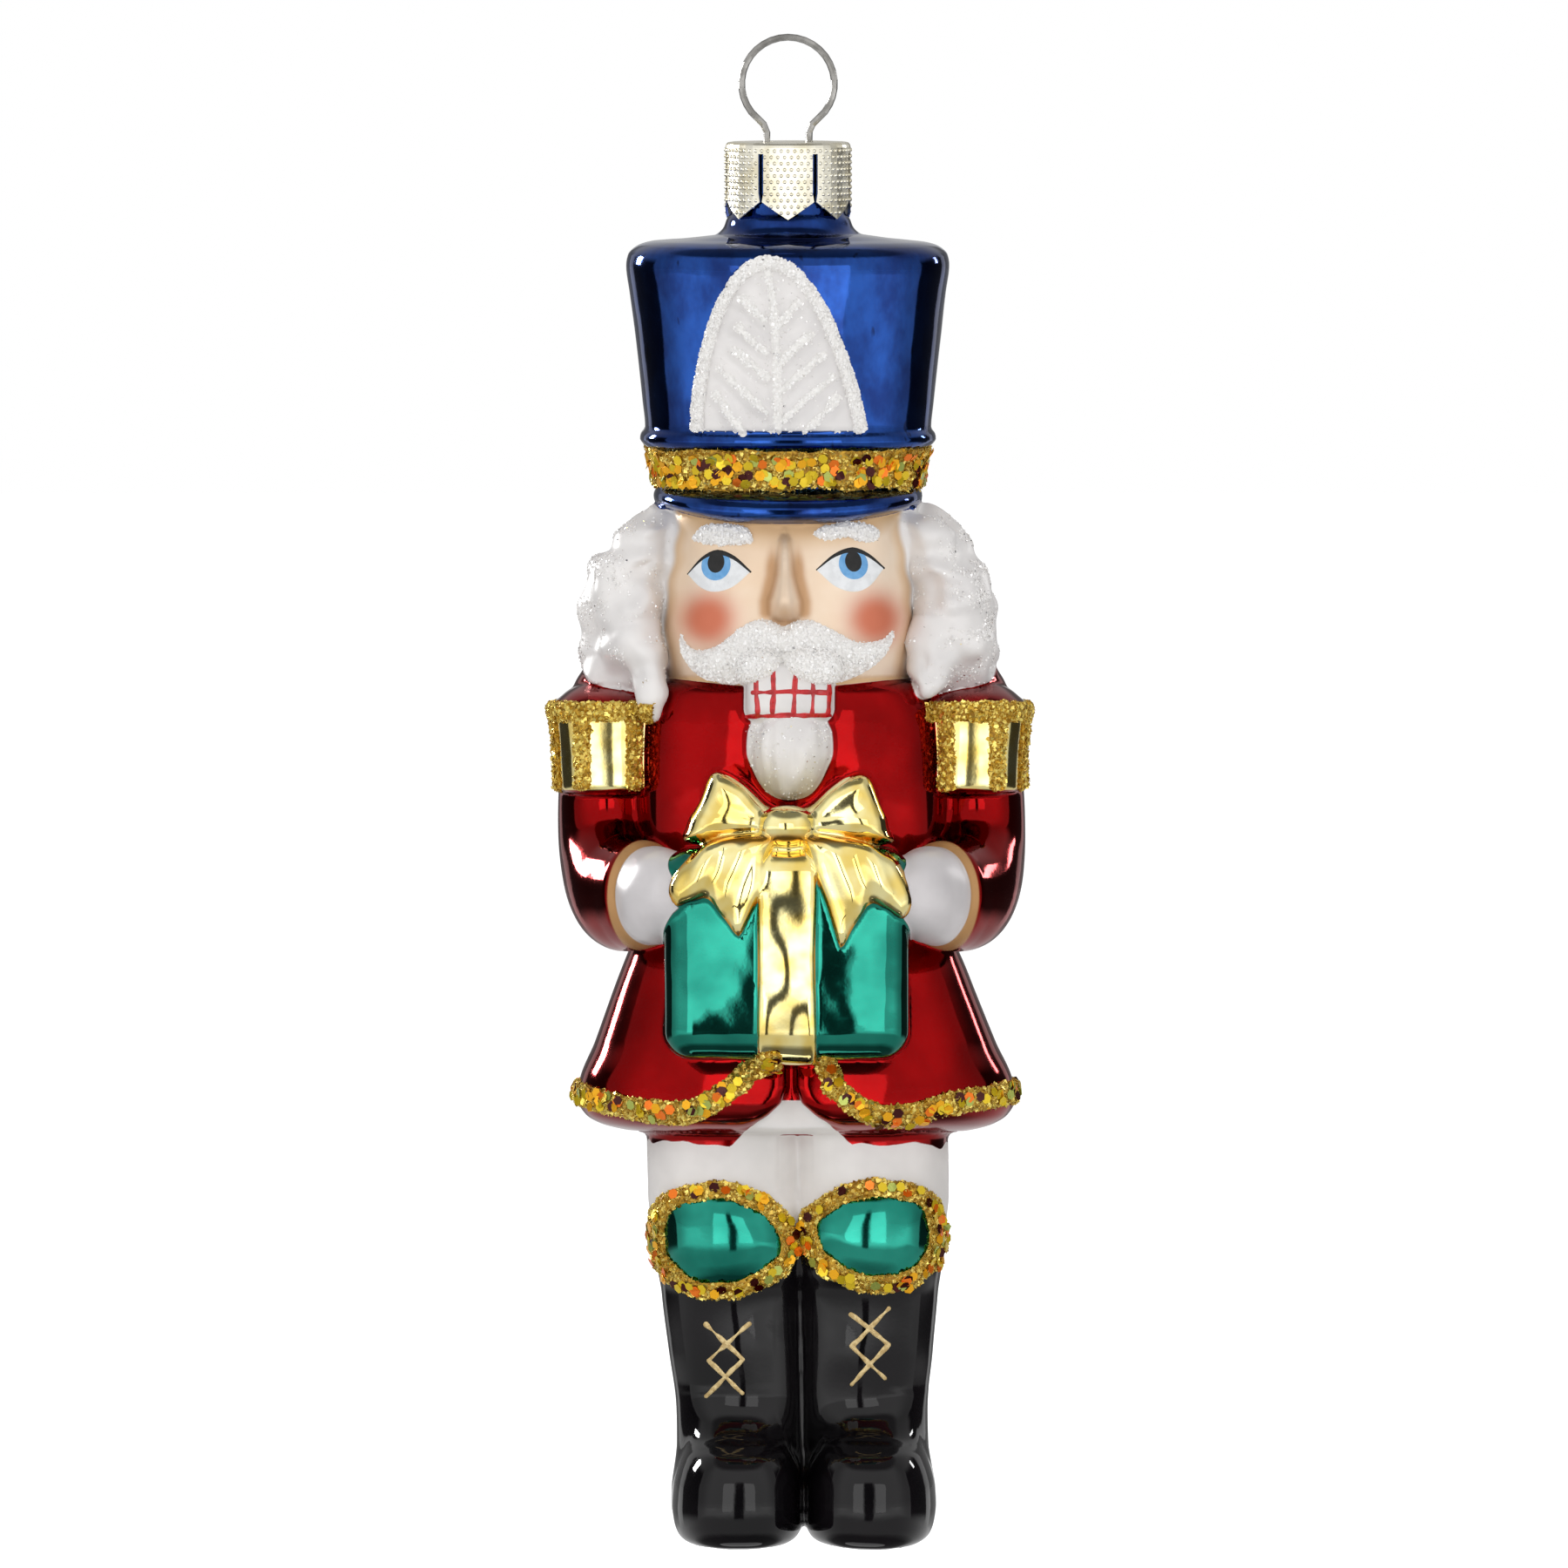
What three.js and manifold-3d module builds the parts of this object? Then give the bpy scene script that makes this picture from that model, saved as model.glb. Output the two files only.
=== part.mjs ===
// Blown glass nutcracker ornament with its metal cap, wire hanger and glued glitter trims.
// Millimetres, +Z up, front towards -Y. The figure is drawn from its soles upwards, and the whole
// ornament is then lowered so that the origin is the point where the wire loop hangs.

import * as THREE from 'three';
import { mergeVertices } from 'three/addons/utils/BufferGeometryUtils.js';
import Module from 'manifold-3d';

const wasm = await Module();
wasm.setup();

// Heights of the figure's main zones, stacked from the soles
const LEG_HEIGHT = 41;
const SKIRT_HEIGHT = 18.4;
const CHEST_HEIGHT = 27.6;
const HEAD_HEIGHT = 15.6;
const HAT_HEIGHT = 28.2;
const NECK_HEIGHT = 9.2;

const HEM_Z = LEG_HEIGHT;
const WAIST_Z = HEM_Z + SKIRT_HEIGHT;
const COLLAR_Z = WAIST_Z + CHEST_HEIGHT;
const BRIM_Z = COLLAR_Z + HEAD_HEIGHT;
const CROWN_Z = BRIM_Z + HAT_HEIGHT;
const NECK_TOP_Z = CROWN_Z + NECK_HEIGHT;

// Glass
const GLASS_WALL = 0.9;
const NECK_R = 5.7;
const NECK_FILLET_R = 1.6;
const NECK_ROOT = 4;
const NECK_SINK = 0.3;

// Half widths and half depths of the main forms
const HAT_TOP_HALF = 16.2;
const HAT_BASE_HALF = 13.7;
const HAT_TOP_DEPTH = 13.4;
const HAT_BASE_DEPTH = 11.8;
const CROWN_EDGE = 2.5;
const CROWN_INSET = 5;
const BRIM_TUCK = 0.6;
const BEAD_PROUD = 0.6;
const BEAD_HEIGHT = 1.6;
const BAND_HEIGHT = 4.7;
const BAND_MARGIN = 0.1;
const VISOR_HEIGHT = 2.8;
const VISOR_PROUD = 2.3;
const HEAD_HALF = 13;
const FACE_DEPTH = 12.6;
const HEAD_BACK = 11;
const HAIR_HALF = 20.7;
const HAIR_BACK = 13;
const HAIR_SHIFT = 1;
const HAIR_DROP = 3.5;
const HAIR_TUCK = 1.5;
const CURL_HALF = 4.4;
const CURL_DEPTH = 7;
const CURL_FORWARD = 1.2;
const CURL_COUNT = 5;
const CURL_SWELL = 0.45;
const NOSE_LENGTH = 7.4;
const NOSE_HALF = 2.2;
const NOSE_PROUD = 3.2;
const NOSE_ROOT = 6;
const NOSE_SHIFT = -0.3;
const CHEST_HALF = 16.5;
const CHEST_DEPTH = 12;
const CHEST_BACK = 11;
const WAIST_HALF = 16.8;
const SKIRT_HALF = 21.9;
const SKIRT_DEPTH = 14;
const SKIRT_BACK = 13;
const HEM_ROLL = 0.6;
const ARM_REACH = 23.2;
const ARM_HALF = 4.7;
const ARM_DEPTH = 6;
const ARM_FORWARD = 12.4;
const ARM_INWARD = 4.4;
const SHOULDER_DROP = 7;
const ELBOW_RISE = 8;
const ELBOW_R = 2.8;
const CUFF_FORWARD = 10;
const GLOVE_HALF = 3.9;
const GLOVE_TALL = 4.9;
const GLOVE_LENGTH = 8.4;
const GLOVE_RISE = 5.4;
const EPAULETTE_REACH = 24;
const EPAULETTE_HALF = 5.4;
const EPAULETTE_DEPTH = 7.4;
const EPAULETTE_HEIGHT = 8.8;
const EPAULETTE_DOME = 2.4;
const EPAULETTE_DROP = 2.4;
const EPAULETTE_TAPER = 0.2;

// Legs and boots
const LEGS_HALF = 15.1;
const ANKLES_HALF = 12.6;
const LEG_DEPTH = 7.6;
const LEG_BACK = 6.8;
const LEG_OVERLAP = 0.7;
const LEG_ROOT = 6;
const KNEE_Z = 30.3;
const KNEE_HEIGHT = 10.4;
const KNEE_SWELL = 0.7;
const BOOT_HEIGHT = 13;
const TOE_HEIGHT = 9.6;
const TOE_DEPTH = 15;
const FEET_HALF = 13.1;

// The figure's centreline drifts sideways below the chin, as blown pieces do
const LEAN_PER_MM = 0.017;
const LEAN_START_Z = COLLAR_Z + 8;

// Gift box held in both gloves, with its ribbon and bow
const GIFT_WIDTH = 24.4;
const GIFT_HEIGHT = 21;
const GIFT_FRONT = 21;
const GIFT_RIM_R = 2.2;
const GIFT_DROP = 10.7;
const GIFT_SHIFT = 0.9;
const GIFT_ROOT = 8;
const RIBBON_WIDTH = 5.6;
const RIBBON_PROUD = 0.6;
const BOW_PROUD = 1.4;
const BOW_SPAN = 20;
const BOW_RISE = 7;
const BOW_LIFT = 1.6;
const BOW_ROOT = 11;
const KNOT_R = 2.2;
const TAIL_DROP = 9.4;

// Teeth block and beard
const JAW_WIDTH = 8.8;
const JAW_HEIGHT = 6;
const JAW_DEPTH = 14.2;
const JAW_RIM_R = 1;
const JAW_ROOT = 8;
const JAW_RISE = 1.4;
const BEARD_DROP = 8.4;
const BEARD_DEPTH = 6.6;
const BEARD_BACK = 2;

// Plume on the hat's front
const PLUME_HALF = 8.7;
const PLUME_SHIFT = -0.9;
const PLUME_LEAN = -1.1;
const PLUME_HEIGHT = 17.4;
const PLUME_PROUD = 0.45;
const PLUME_ROPE = 1.4;
const PLUME_MARGIN = 0.3;
const BARB_COUNT = 5;
const BARB_WIDTH = 0.75;
const BARB_PITCH = 2.5;
const BARB_REACH = 4.4;
const BARB_START = 3.6;
const SPINE_TOP = 15;

// Glued glitter trims
const SEAT_GAP = 0.34;
const SEAT_MARGIN = 0.03;
const GLITTER_THICK = 0.5;
const MOUSTACHE_THICK = 1.1;
const MOUSTACHE_SPAN = 20.4;
const MOUSTACHE_DROP = 5.2;
const MOUSTACHE_SHIFT = -0.4;
const BROW_THICK = 0.6;
const BROW_LENGTH = 5.8;
const BROW_HEIGHT = 1.9;
const BROW_SPACE = 3.4;
const HEM_BAND = 2.1;
const HEM_RISE = 4.2;
const HEM_DIP = 1.7;
const HEM_NOTCH_HALF = 6;
const HEM_NOTCH_RISE = 4.4;
const HEM_NOTCH_DEPTH = 3;
const HEM_NOTCH_SHIFT = -0.6;
const FRINGE_BAND = 1.7;
const FRINGE_STRIP = 1.15;
const FRINGE_STRIPS = 7;
const KNEE_BAND = 1.6;
const KNEE_PLATE_WIDTH = 12.2;
const KNEE_SPACE = 0.4;

// Metal cap, pressed from sheet
const CAP_SHEET = 0.3;
const CAP_GAP = 0.3;
const PETAL_COUNT = 7;
const CAP_RIM_R = 0.5;
const SLIT_START = 1.1;
const SLIT_WIDTH = 0.55;
const PETAL_SHOULDER = 5.9;
const CAP_SKIRT = 7.7;
const PETAL_SLOPE = 0.9;

// Wire hanger
const WIRE_R = 0.35;
const WIRE_CLEARANCE = 0.3;
const LOOP_R = 4.65;
const LEG_SPREAD = 2.15;
const KINK_RISE = 1.7;
const GRIP_LENGTH = 22;
const LOOP_FLARE = 0.12;
const GRIP_SPRING = 0.5;

// Cleaning of the seams between joined forms
const NEEDLE_HEIGHT = 0.006;
const SHORT_EDGE = 1.1;
const SEAM_DEVIATION = 0.03;
const SEAM_PASSES = 6;

const CAP_R = NECK_R + CAP_GAP + CAP_SHEET;
const CAP_TOP_Z = NECK_TOP_Z + CAP_GAP + CAP_SHEET;
const LOOP_DROP = Math.sqrt(LOOP_R ** 2 - LEG_SPREAD ** 2);
const LOOP_Z = CAP_TOP_Z + KINK_RISE + LOOP_DROP;
const EYE_Z = LOOP_Z + LOOP_R - WIRE_R;

const BEAD_Z = BRIM_Z + VISOR_HEIGHT + BAND_HEIGHT + BEAD_HEIGHT / 2;
const GIFT_BOTTOM_Z = WAIST_Z - GIFT_DROP;
const GIFT_TOP_Z = GIFT_BOTTOM_Z + GIFT_HEIGHT;
const JAW_TOP_Z = COLLAR_Z + JAW_RISE;
const EPAULETTE_TOP_Z = COLLAR_Z - EPAULETTE_DROP;
const EPAULETTE_FOOT_Z = EPAULETTE_TOP_Z - EPAULETTE_HEIGHT;

// Reach of cutting slabs that pass right through the figure, and the cut for the front half alone
const THROUGH = 80;
const frontOnly = { front: THROUGH, back: -1 };

const lean = (z) => LEAN_PER_MM * Math.max(0, LEAN_START_Z - z);
const mix = (a, b, t) => a + (b - a) * t;
const clamp = (t) => THREE.MathUtils.clamp(t, 0, 1);

// A superellipse section: half width, front depth and back depth may all differ
function section({ z, half, front, back, x = 0, y = 0, square = 2.3, sides }) {
  const ring = [];
  for (let i = 0; i < sides; i += 1) {
    const angle = (i / sides) * Math.PI * 2;
    const c = Math.cos(angle);
    const s = Math.sin(angle);
    const depth = s < 0 ? front : back;
    const px = half * Math.sign(c) * Math.abs(c) ** (2 / square);
    const py = depth * Math.sign(s) * Math.abs(s) ** (2 / square);
    ring.push(new THREE.Vector3(x + px, y + py, z));
  }
  return ring;
}

// Skins a stack of equal rings and closes both ends
function skin(rings) {
  const sides = rings[0].length;
  const points = rings.flat();
  const first = points.length;
  const centre = (ring) => ring.reduce((sum, p) => sum.add(p), new THREE.Vector3()).divideScalar(sides);
  points.push(centre(rings[0]), centre(rings.at(-1)));
  const faces = [];
  const top = (rings.length - 1) * sides;
  for (let j = 0; j < sides; j += 1) {
    const k = (j + 1) % sides;
    for (let i = 0; i < rings.length - 1; i += 1) {
      const a = i * sides;
      const b = a + sides;
      faces.push(a + j, a + k, b + k, a + j, b + k, b + j);
    }
    faces.push(first, k, j, first + 1, top + j, top + k);
  }
  const geometry = new THREE.BufferGeometry();
  const positions = points.flatMap((p) => [p.x, p.y, p.z]);
  geometry.setAttribute('position', new THREE.Float32BufferAttribute(positions, 3));
  geometry.setIndex(faces);
  return geometry;
}

// Smooth interpolation of station rows, each row a list of numbers
function resample(rows, count) {
  const at = (i) => rows[Math.min(rows.length - 1, Math.max(0, i))];
  return Array.from({ length: count }, (_, k) => {
    const place = (k / (count - 1)) * (rows.length - 1);
    const i = Math.min(rows.length - 2, Math.floor(place));
    const t = place - i;
    return at(i).map((_value, c) => {
      const [p0, p1, p2, p3] = [at(i - 1)[c], at(i)[c], at(i + 1)[c], at(i + 2)[c]];
      const slope1 = (p2 - p0) / 2;
      const slope2 = (p3 - p1) / 2;
      const cubic = 2 * (p1 - p2) + slope1 + slope2;
      const square = 3 * (p2 - p1) - 2 * slope1 - slope2;
      return ((cubic * t + square) * t + slope1) * t + p1;
    });
  });
}

// A loft through rows of [z, half width, front depth, back depth, centre x, centre y], lowest first
function loft(rows, { sides = 32, square = 2.3, rings = 0, grow = 0 } = {}) {
  const full = rows.map((row) => [...row, 0, 0].slice(0, 6));
  const smooth = rings > 0 ? resample(full, rings) : full;
  const last = smooth.length - 1;
  return toSolid(skin(smooth.map(([z, half, front, back, x, y], i) => {
    const shift = i === 0 ? -grow : i === last ? grow : 0;
    return section({
      z: z + shift, half: half + grow, front: front + grow, back: back + grow, x, y, square, sides,
    });
  })));
}

// A bent round form through rows of [x, y, z, radius across, radius fore and aft]
function limb(rows, { sides = 18, rings = 12, grow = 0 } = {}) {
  const stations = resample(rows, rings);
  const spine = stations.map(([x, y, z]) => new THREE.Vector3(x, y, z));
  const across = new THREE.Vector3(1, 0, 0);
  return toSolid(skin(stations.map(([, , , wide, deep], i) => {
    const along = spine[Math.min(i + 1, rings - 1)].clone().sub(spine[Math.max(i - 1, 0)]).normalize();
    const u = across.clone().addScaledVector(along, -across.dot(along)).normalize();
    const v = along.clone().cross(u);
    const end = i === 0 ? -grow : i === rings - 1 ? grow : 0;
    const middle = spine[i].clone().addScaledVector(along, end);
    return Array.from({ length: sides }, (_, k) => {
      const angle = (k / sides) * Math.PI * 2;
      return middle.clone()
        .addScaledVector(u, Math.cos(angle) * (wide + grow))
        .addScaledVector(v, Math.sin(angle) * (deep + grow));
    });
  })));
}

// A closed mesh geometry as a solid for joining and cutting
function toSolid(geometry) {
  const bare = geometry.clone();
  bare.deleteAttribute('normal');
  bare.deleteAttribute('uv');
  const merged = mergeVertices(bare, 1e-5);
  const corners = merged.index.array;
  const kept = [];
  for (let i = 0; i < corners.length; i += 3) {
    const [a, b, c] = corners.slice(i, i + 3);
    if (a !== b && b !== c && c !== a) kept.push(a, b, c);
  }
  return new wasm.Manifold(new wasm.Mesh({
    numProp: 3,
    vertProperties: new Float32Array(merged.attributes.position.array),
    triVerts: new Uint32Array(kept),
  }));
}

const join = (solids) => solids.reduce((sum, solid) => sum.add(solid));

// Cleans the seams that joins leave: needle faces are turned, and short edges are closed up
// wherever that moves the surface by less than a named deviation
function cleanSeams(solid) {
  const { vertProperties, triVerts } = solid.getMesh();
  const points = [];
  for (let i = 0; i < vertProperties.length; i += 3) {
    points.push(new THREE.Vector3(...vertProperties.slice(i, i + 3)));
  }
  const faces = [];
  for (let i = 0; i < triVerts.length; i += 3) faces.push([...triVerts.slice(i, i + 3)]);
  const around = points.map(() => new Set());
  faces.forEach((face, i) => face.forEach((v) => around[v].add(i)));

  const doubleArea = ([a, b, c]) => points[b].clone().sub(points[a]).cross(points[c].clone().sub(points[a]));
  const neighbours = (v) => new Set([...around[v]].flatMap((f) => faces[f]).filter((w) => w !== v));
  const span = (a, b) => points[a].distanceTo(points[b]);

  const turnNeedle = (f) => {
    const face = faces[f];
    const lengths = face.map((v, i) => span(v, face[(i + 1) % 3]));
    const longest = lengths.indexOf(Math.max(...lengths));
    const [a, b, c] = [0, 1, 2].map((i) => face[(longest + i) % 3]);
    if (doubleArea(face).length() / lengths[longest] > NEEDLE_HEIGHT) return false;
    const g = [...around[a]].find((other) => other !== f && around[b].has(other));
    const d = faces[g].find((v) => v !== a && v !== b);
    if (neighbours(c).has(d)) return false;
    const reach = points[b].clone().sub(points[a]);
    const along = points[c].clone().sub(points[a]).dot(reach) / reach.lengthSq();
    if (along < 0.001 || along > 0.999) return false;
    faces[f] = [c, a, d];
    faces[g] = [c, d, b];
    around[a].delete(g);
    around[b].delete(f);
    around[c].add(g);
    around[d].add(f);
    return true;
  };

  const closeEdge = (kept, gone) => {
    const length = span(kept, gone);
    const beside = neighbours(kept);
    const shared = [...neighbours(gone)].filter((v) => beside.has(v));
    if (length > SHORT_EDGE || shared.length !== 2) return false;
    const moved = [...around[gone]].filter((f) => !around[kept].has(f));
    const fits = moved.every((f) => {
      const before = doubleArea(faces[f]);
      const next = faces[f].map((v) => (v === gone ? kept : v));
      const after = doubleArea(next);
      const longest = Math.max(...next.map((v, i) => span(v, next[(i + 1) % 3])));
      const needle = after.length() / longest < NEEDLE_HEIGHT;
      const offset = Math.abs(after.clone().normalize().dot(points[gone].clone().sub(points[kept])));
      const wasTiny = before.length() < NEEDLE_HEIGHT * NEEDLE_HEIGHT;
      return !needle && offset < SEAM_DEVIATION && (wasTiny || before.normalize().dot(after.normalize()) > 0.3);
    });
    if (!fits) return false;
    [...around[gone]].filter((f) => around[kept].has(f)).forEach((f) => {
      faces[f].forEach((v) => around[v].delete(f));
      faces[f] = null;
    });
    moved.forEach((f) => {
      faces[f] = faces[f].map((v) => (v === gone ? kept : v));
      around[kept].add(f);
    });
    around[gone].clear();
    return true;
  };

  for (let pass = 0; pass < SEAM_PASSES; pass += 1) {
    for (let f = 0; f < faces.length; f += 1) {
      if (faces[f]) turnNeedle(f);
      for (let i = 0; faces[f] && i < 3; i += 1) {
        const [a, b] = [faces[f][i], faces[f][(i + 1) % 3]];
        if (closeEdge(a, b) || closeEdge(b, a)) break;
      }
    }
  }
  const geometry = new THREE.BufferGeometry();
  const positions = points.flatMap((p) => [p.x, p.y, p.z]);
  geometry.setAttribute('position', new THREE.Float32BufferAttribute(positions, 3));
  geometry.setIndex(faces.filter(Boolean).flat());
  return toSolid(geometry);
}

// A closed smooth outline through front-view points of [x, z]
function smoothShape(points, steps) {
  const curve = new THREE.CatmullRomCurve3(points.map(([x, z]) => new THREE.Vector3(x, z, 0)), true);
  return new THREE.Shape(curve.getPoints(steps).slice(0, -1).map((p) => new THREE.Vector2(p.x, p.y)));
}

// The outline of a strip of even width that follows a smooth centreline of [x, z] points
function stripShape(points, width, steps) {
  const line = new THREE.SplineCurve(points.map(([x, z]) => new THREE.Vector2(x, z)));
  const left = [];
  const right = [];
  for (let i = 0; i <= steps; i += 1) {
    const p = line.getPoint(i / steps);
    const t = line.getTangent(i / steps);
    const n = new THREE.Vector2(-t.y, t.x).multiplyScalar(width / 2);
    left.push(p.clone().add(n));
    right.unshift(p.clone().sub(n));
  }
  return new THREE.Shape([...left, ...right]);
}

const polygon = (points) => new THREE.Shape(points.map(([x, z]) => new THREE.Vector2(x, z)));

// A front-view outline made solid from y = back to y = -front, its edges rounded if asked
function plate(shape, { front, back, round = 0, grow = 0 }) {
  const depth = front + back + 2 * grow - 2 * round;
  const geometry = new THREE.ExtrudeGeometry(shape, {
    depth,
    steps: 1,
    curveSegments: 4,
    bevelEnabled: round > 0 || grow !== 0,
    bevelThickness: round,
    bevelSize: round,
    bevelOffset: grow - round,
    bevelSegments: round > 0 ? 2 : 1,
  });
  geometry.translate(0, 0, -back - grow + round);
  geometry.rotateX(Math.PI / 2);
  return toSolid(geometry);
}

function roundedRectangle(x, z, width, height, r) {
  const shape = new THREE.Shape();
  shape.moveTo(x - width / 2 + r, z - height / 2);
  shape.lineTo(x + width / 2 - r, z - height / 2);
  shape.absarc(x + width / 2 - r, z - height / 2 + r, r, -Math.PI / 2, 0);
  shape.absarc(x + width / 2 - r, z + height / 2 - r, r, 0, Math.PI / 2);
  shape.absarc(x - width / 2 + r, z + height / 2 - r, r, Math.PI / 2, Math.PI);
  shape.absarc(x - width / 2 + r, z - height / 2 + r, r, Math.PI, Math.PI * 1.5);
  return shape;
}

// Shako hat: straight flaring wall, rounded crown edge, rolled bead above the band
function hat(grow = 0, sides = 32) {
  const wallTop = CROWN_Z - CROWN_EDGE;
  const wall = (z) => {
    const swell = Math.max(0, (z - BRIM_Z) / (wallTop - BRIM_Z)) ** 1.3;
    const depth = mix(HAT_BASE_DEPTH, HAT_TOP_DEPTH, swell);
    return [z, mix(HAT_BASE_HALF, HAT_TOP_HALF, swell), depth, depth];
  };
  const widen = ([z, ...sizes], by) => [z, ...sizes.map((size) => size + by)];
  const edge = (rise, inset) => widen(wall(wallTop + CROWN_EDGE * rise), -CROWN_INSET * inset);
  const rows = [
    wall(BRIM_Z + BRIM_TUCK),
    wall(BEAD_Z - BEAD_HEIGHT * 0.6),
    widen(wall(BEAD_Z - BEAD_HEIGHT * 0.3), BEAD_PROUD * 0.8),
    widen(wall(BEAD_Z), BEAD_PROUD),
    widen(wall(BEAD_Z + BEAD_HEIGHT * 0.3), BEAD_PROUD * 0.8),
    wall(BEAD_Z + BEAD_HEIGHT * 0.65),
    wall(mix(BEAD_Z, wallTop, 0.55)),
    wall(wallTop),
    edge(0.4, 0.06),
    edge(0.72, 0.24),
    edge(0.92, 0.56),
    edge(1, 1),
  ];
  return loft(rows, { sides, square: 2.5, grow });
}

// Round neck that the cap sits on, filleted into the hat's crown
function neck(grow = 0) {
  const footR = NECK_R + NECK_FILLET_R;
  const profile = [
    new THREE.Vector2(0, CROWN_Z - NECK_ROOT - grow),
    new THREE.Vector2(footR + grow, CROWN_Z - NECK_ROOT - grow),
  ];
  const steps = 4;
  for (let i = 0; i <= steps; i += 1) {
    const angle = (i / steps) * (Math.PI / 2);
    const r = footR - NECK_FILLET_R * Math.sin(angle) + grow;
    profile.push(new THREE.Vector2(r, CROWN_Z - NECK_SINK + NECK_FILLET_R * (1 - Math.cos(angle))));
  }
  profile.push(new THREE.Vector2(NECK_R + grow, NECK_TOP_Z));
  profile.push(new THREE.Vector2(0, NECK_TOP_Z));
  return lathe(profile, 24);
}

function lathe(profile, sides) {
  const geometry = new THREE.LatheGeometry(profile, sides);
  geometry.rotateX(Math.PI / 2);
  return toSolid(geometry);
}

// Peak of the hat, drooping and standing proud in front
function visor(grow = 0) {
  const row = (rise, widen, proud, back) => [
    BRIM_Z + VISOR_HEIGHT * rise, HAT_BASE_HALF + VISOR_PROUD * widen, HAT_BASE_DEPTH + VISOR_PROUD * proud,
    HAT_BASE_DEPTH + VISOR_PROUD * back,
  ];
  return loft([
    row(0, -0.52, 0.57, -0.43),
    row(0.18, -0.04, 1, 0),
    row(0.43, 0.11, 0.8, 0.09),
    row(0.71, 0.09, 0.35, 0.04),
    row(1, -0.04, 0, 0),
  ], { sides: 28, square: 2.5, grow });
}

// Head with full cheeks, running up into the hat and down into the collar
function head(grow = 0, sides = 26) {
  const row = (rise, wide, deep, back) => [
    COLLAR_Z + HEAD_HEIGHT * rise, HEAD_HALF * wide, FACE_DEPTH * deep, HEAD_BACK * back,
  ];
  return loft([
    row(-0.45, 0.73, 0.64, 0.82),
    row(-0.13, 0.92, 0.87, 0.91),
    row(0.3, 1, 1, 1),
    row(0.65, 1, 0.98, 1),
    row(1, 0.97, 0.92, 1),
    row(1.19, 0.91, 0.84, 0.91),
  ], { sides, square: 2.4, rings: 9, grow });
}

// Straight bridge that widens to the tip and turns under
function nose(grow = 0) {
  const tip = COLLAR_Z + HEAD_HEIGHT * 0.41;
  const reach = FACE_DEPTH + NOSE_PROUD - NOSE_ROOT;
  const row = (rise, wide, sunk) => [
    tip + NOSE_LENGTH * rise, NOSE_HALF * wide, reach - NOSE_PROUD * sunk, 0, NOSE_SHIFT, -NOSE_ROOT,
  ];
  return loft([
    row(-0.135, 0.6, 0.81),
    row(-0.04, 1, 0.22),
    row(0.12, 1, 0),
    row(0.45, 0.68, 0.38),
    row(0.85, 0.56, 0.81),
    row(1, 0.5, 1.25),
  ], { sides: 12, rings: 8, square: 2.1, grow });
}

const hairFoot = COLLAR_Z - HAIR_DROP;
const hairTop = BRIM_Z + HAIR_TUCK;

// Wig round the back of the head
function wig(grow = 0, sides = 20) {
  const row = (t, wide, front, back) => [
    mix(hairFoot, hairTop, t), HAIR_HALF * wide, HAIR_BACK * front, HAIR_BACK * back, 0, HAIR_SHIFT,
  ];
  return loft([
    row(0, 0.76, 0.23, 0.885), row(0.25, 0.88, 0.31, 0.954), row(0.6, 0.894, 0.31, 0.954),
    row(0.85, 0.783, 0.27, 0.877), row(1, 0.638, 0.23, 0.77),
  ], { sides, rings: 7, square: 2.2, grow });
}

// Roll of curls beside the face, swelling once for each curl
function curlRoll(side, grow = 0) {
  const row = (t, outer, wide, deep) => [
    side * (HAIR_HALF * outer - CURL_HALF * wide), -CURL_FORWARD, mix(hairFoot, hairTop, t), CURL_HALF * wide,
    CURL_DEPTH * deep,
  ];
  const perCurl = 3;
  const rings = CURL_COUNT * perCurl + 1;
  const rows = resample([
    row(0, 0.86, 0.91, 0.8), row(0.2, 0.99, 0.955, 0.943), row(0.4, 1, 0.977, 1), row(0.6, 0.961, 1, 1),
    row(0.8, 0.807, 0.818, 0.857), row(1, 0.662, 0.41, 0.514),
  ], rings);
  const curled = rows.map(([x, y, z, wide, deep], i) => {
    const wave = -Math.cos((i / perCurl) * Math.PI * 2) * CURL_SWELL;
    return [x, y, z, wide + wave, deep + wave * 1.6];
  });
  return limb(curled, { sides: 12, rings, grow });
}

// Coat body from the waist to the shoulders
function chest(grow = 0, sides = 24) {
  const row = (t, half, deep, back) => {
    const z = mix(WAIST_Z, COLLAR_Z, t);
    return [z, half, CHEST_DEPTH * deep, CHEST_BACK * back, lean(z)];
  };
  return loft([
    row(-0.07, WAIST_HALF * 0.94, 0.87, 0.93),
    row(0.25, CHEST_HALF * 0.97, 0.95, 0.97),
    row(0.6, CHEST_HALF, 1.02, 1),
    row(0.85, CHEST_HALF * 1.035, 1.025, 1),
    row(0.94, CHEST_HALF * 0.95, 0.97, 0.945),
    row(0.993, CHEST_HALF * 0.73, 0.78, 0.77),
  ], { sides, square: 2.6, rings: 8, grow });
}

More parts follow.
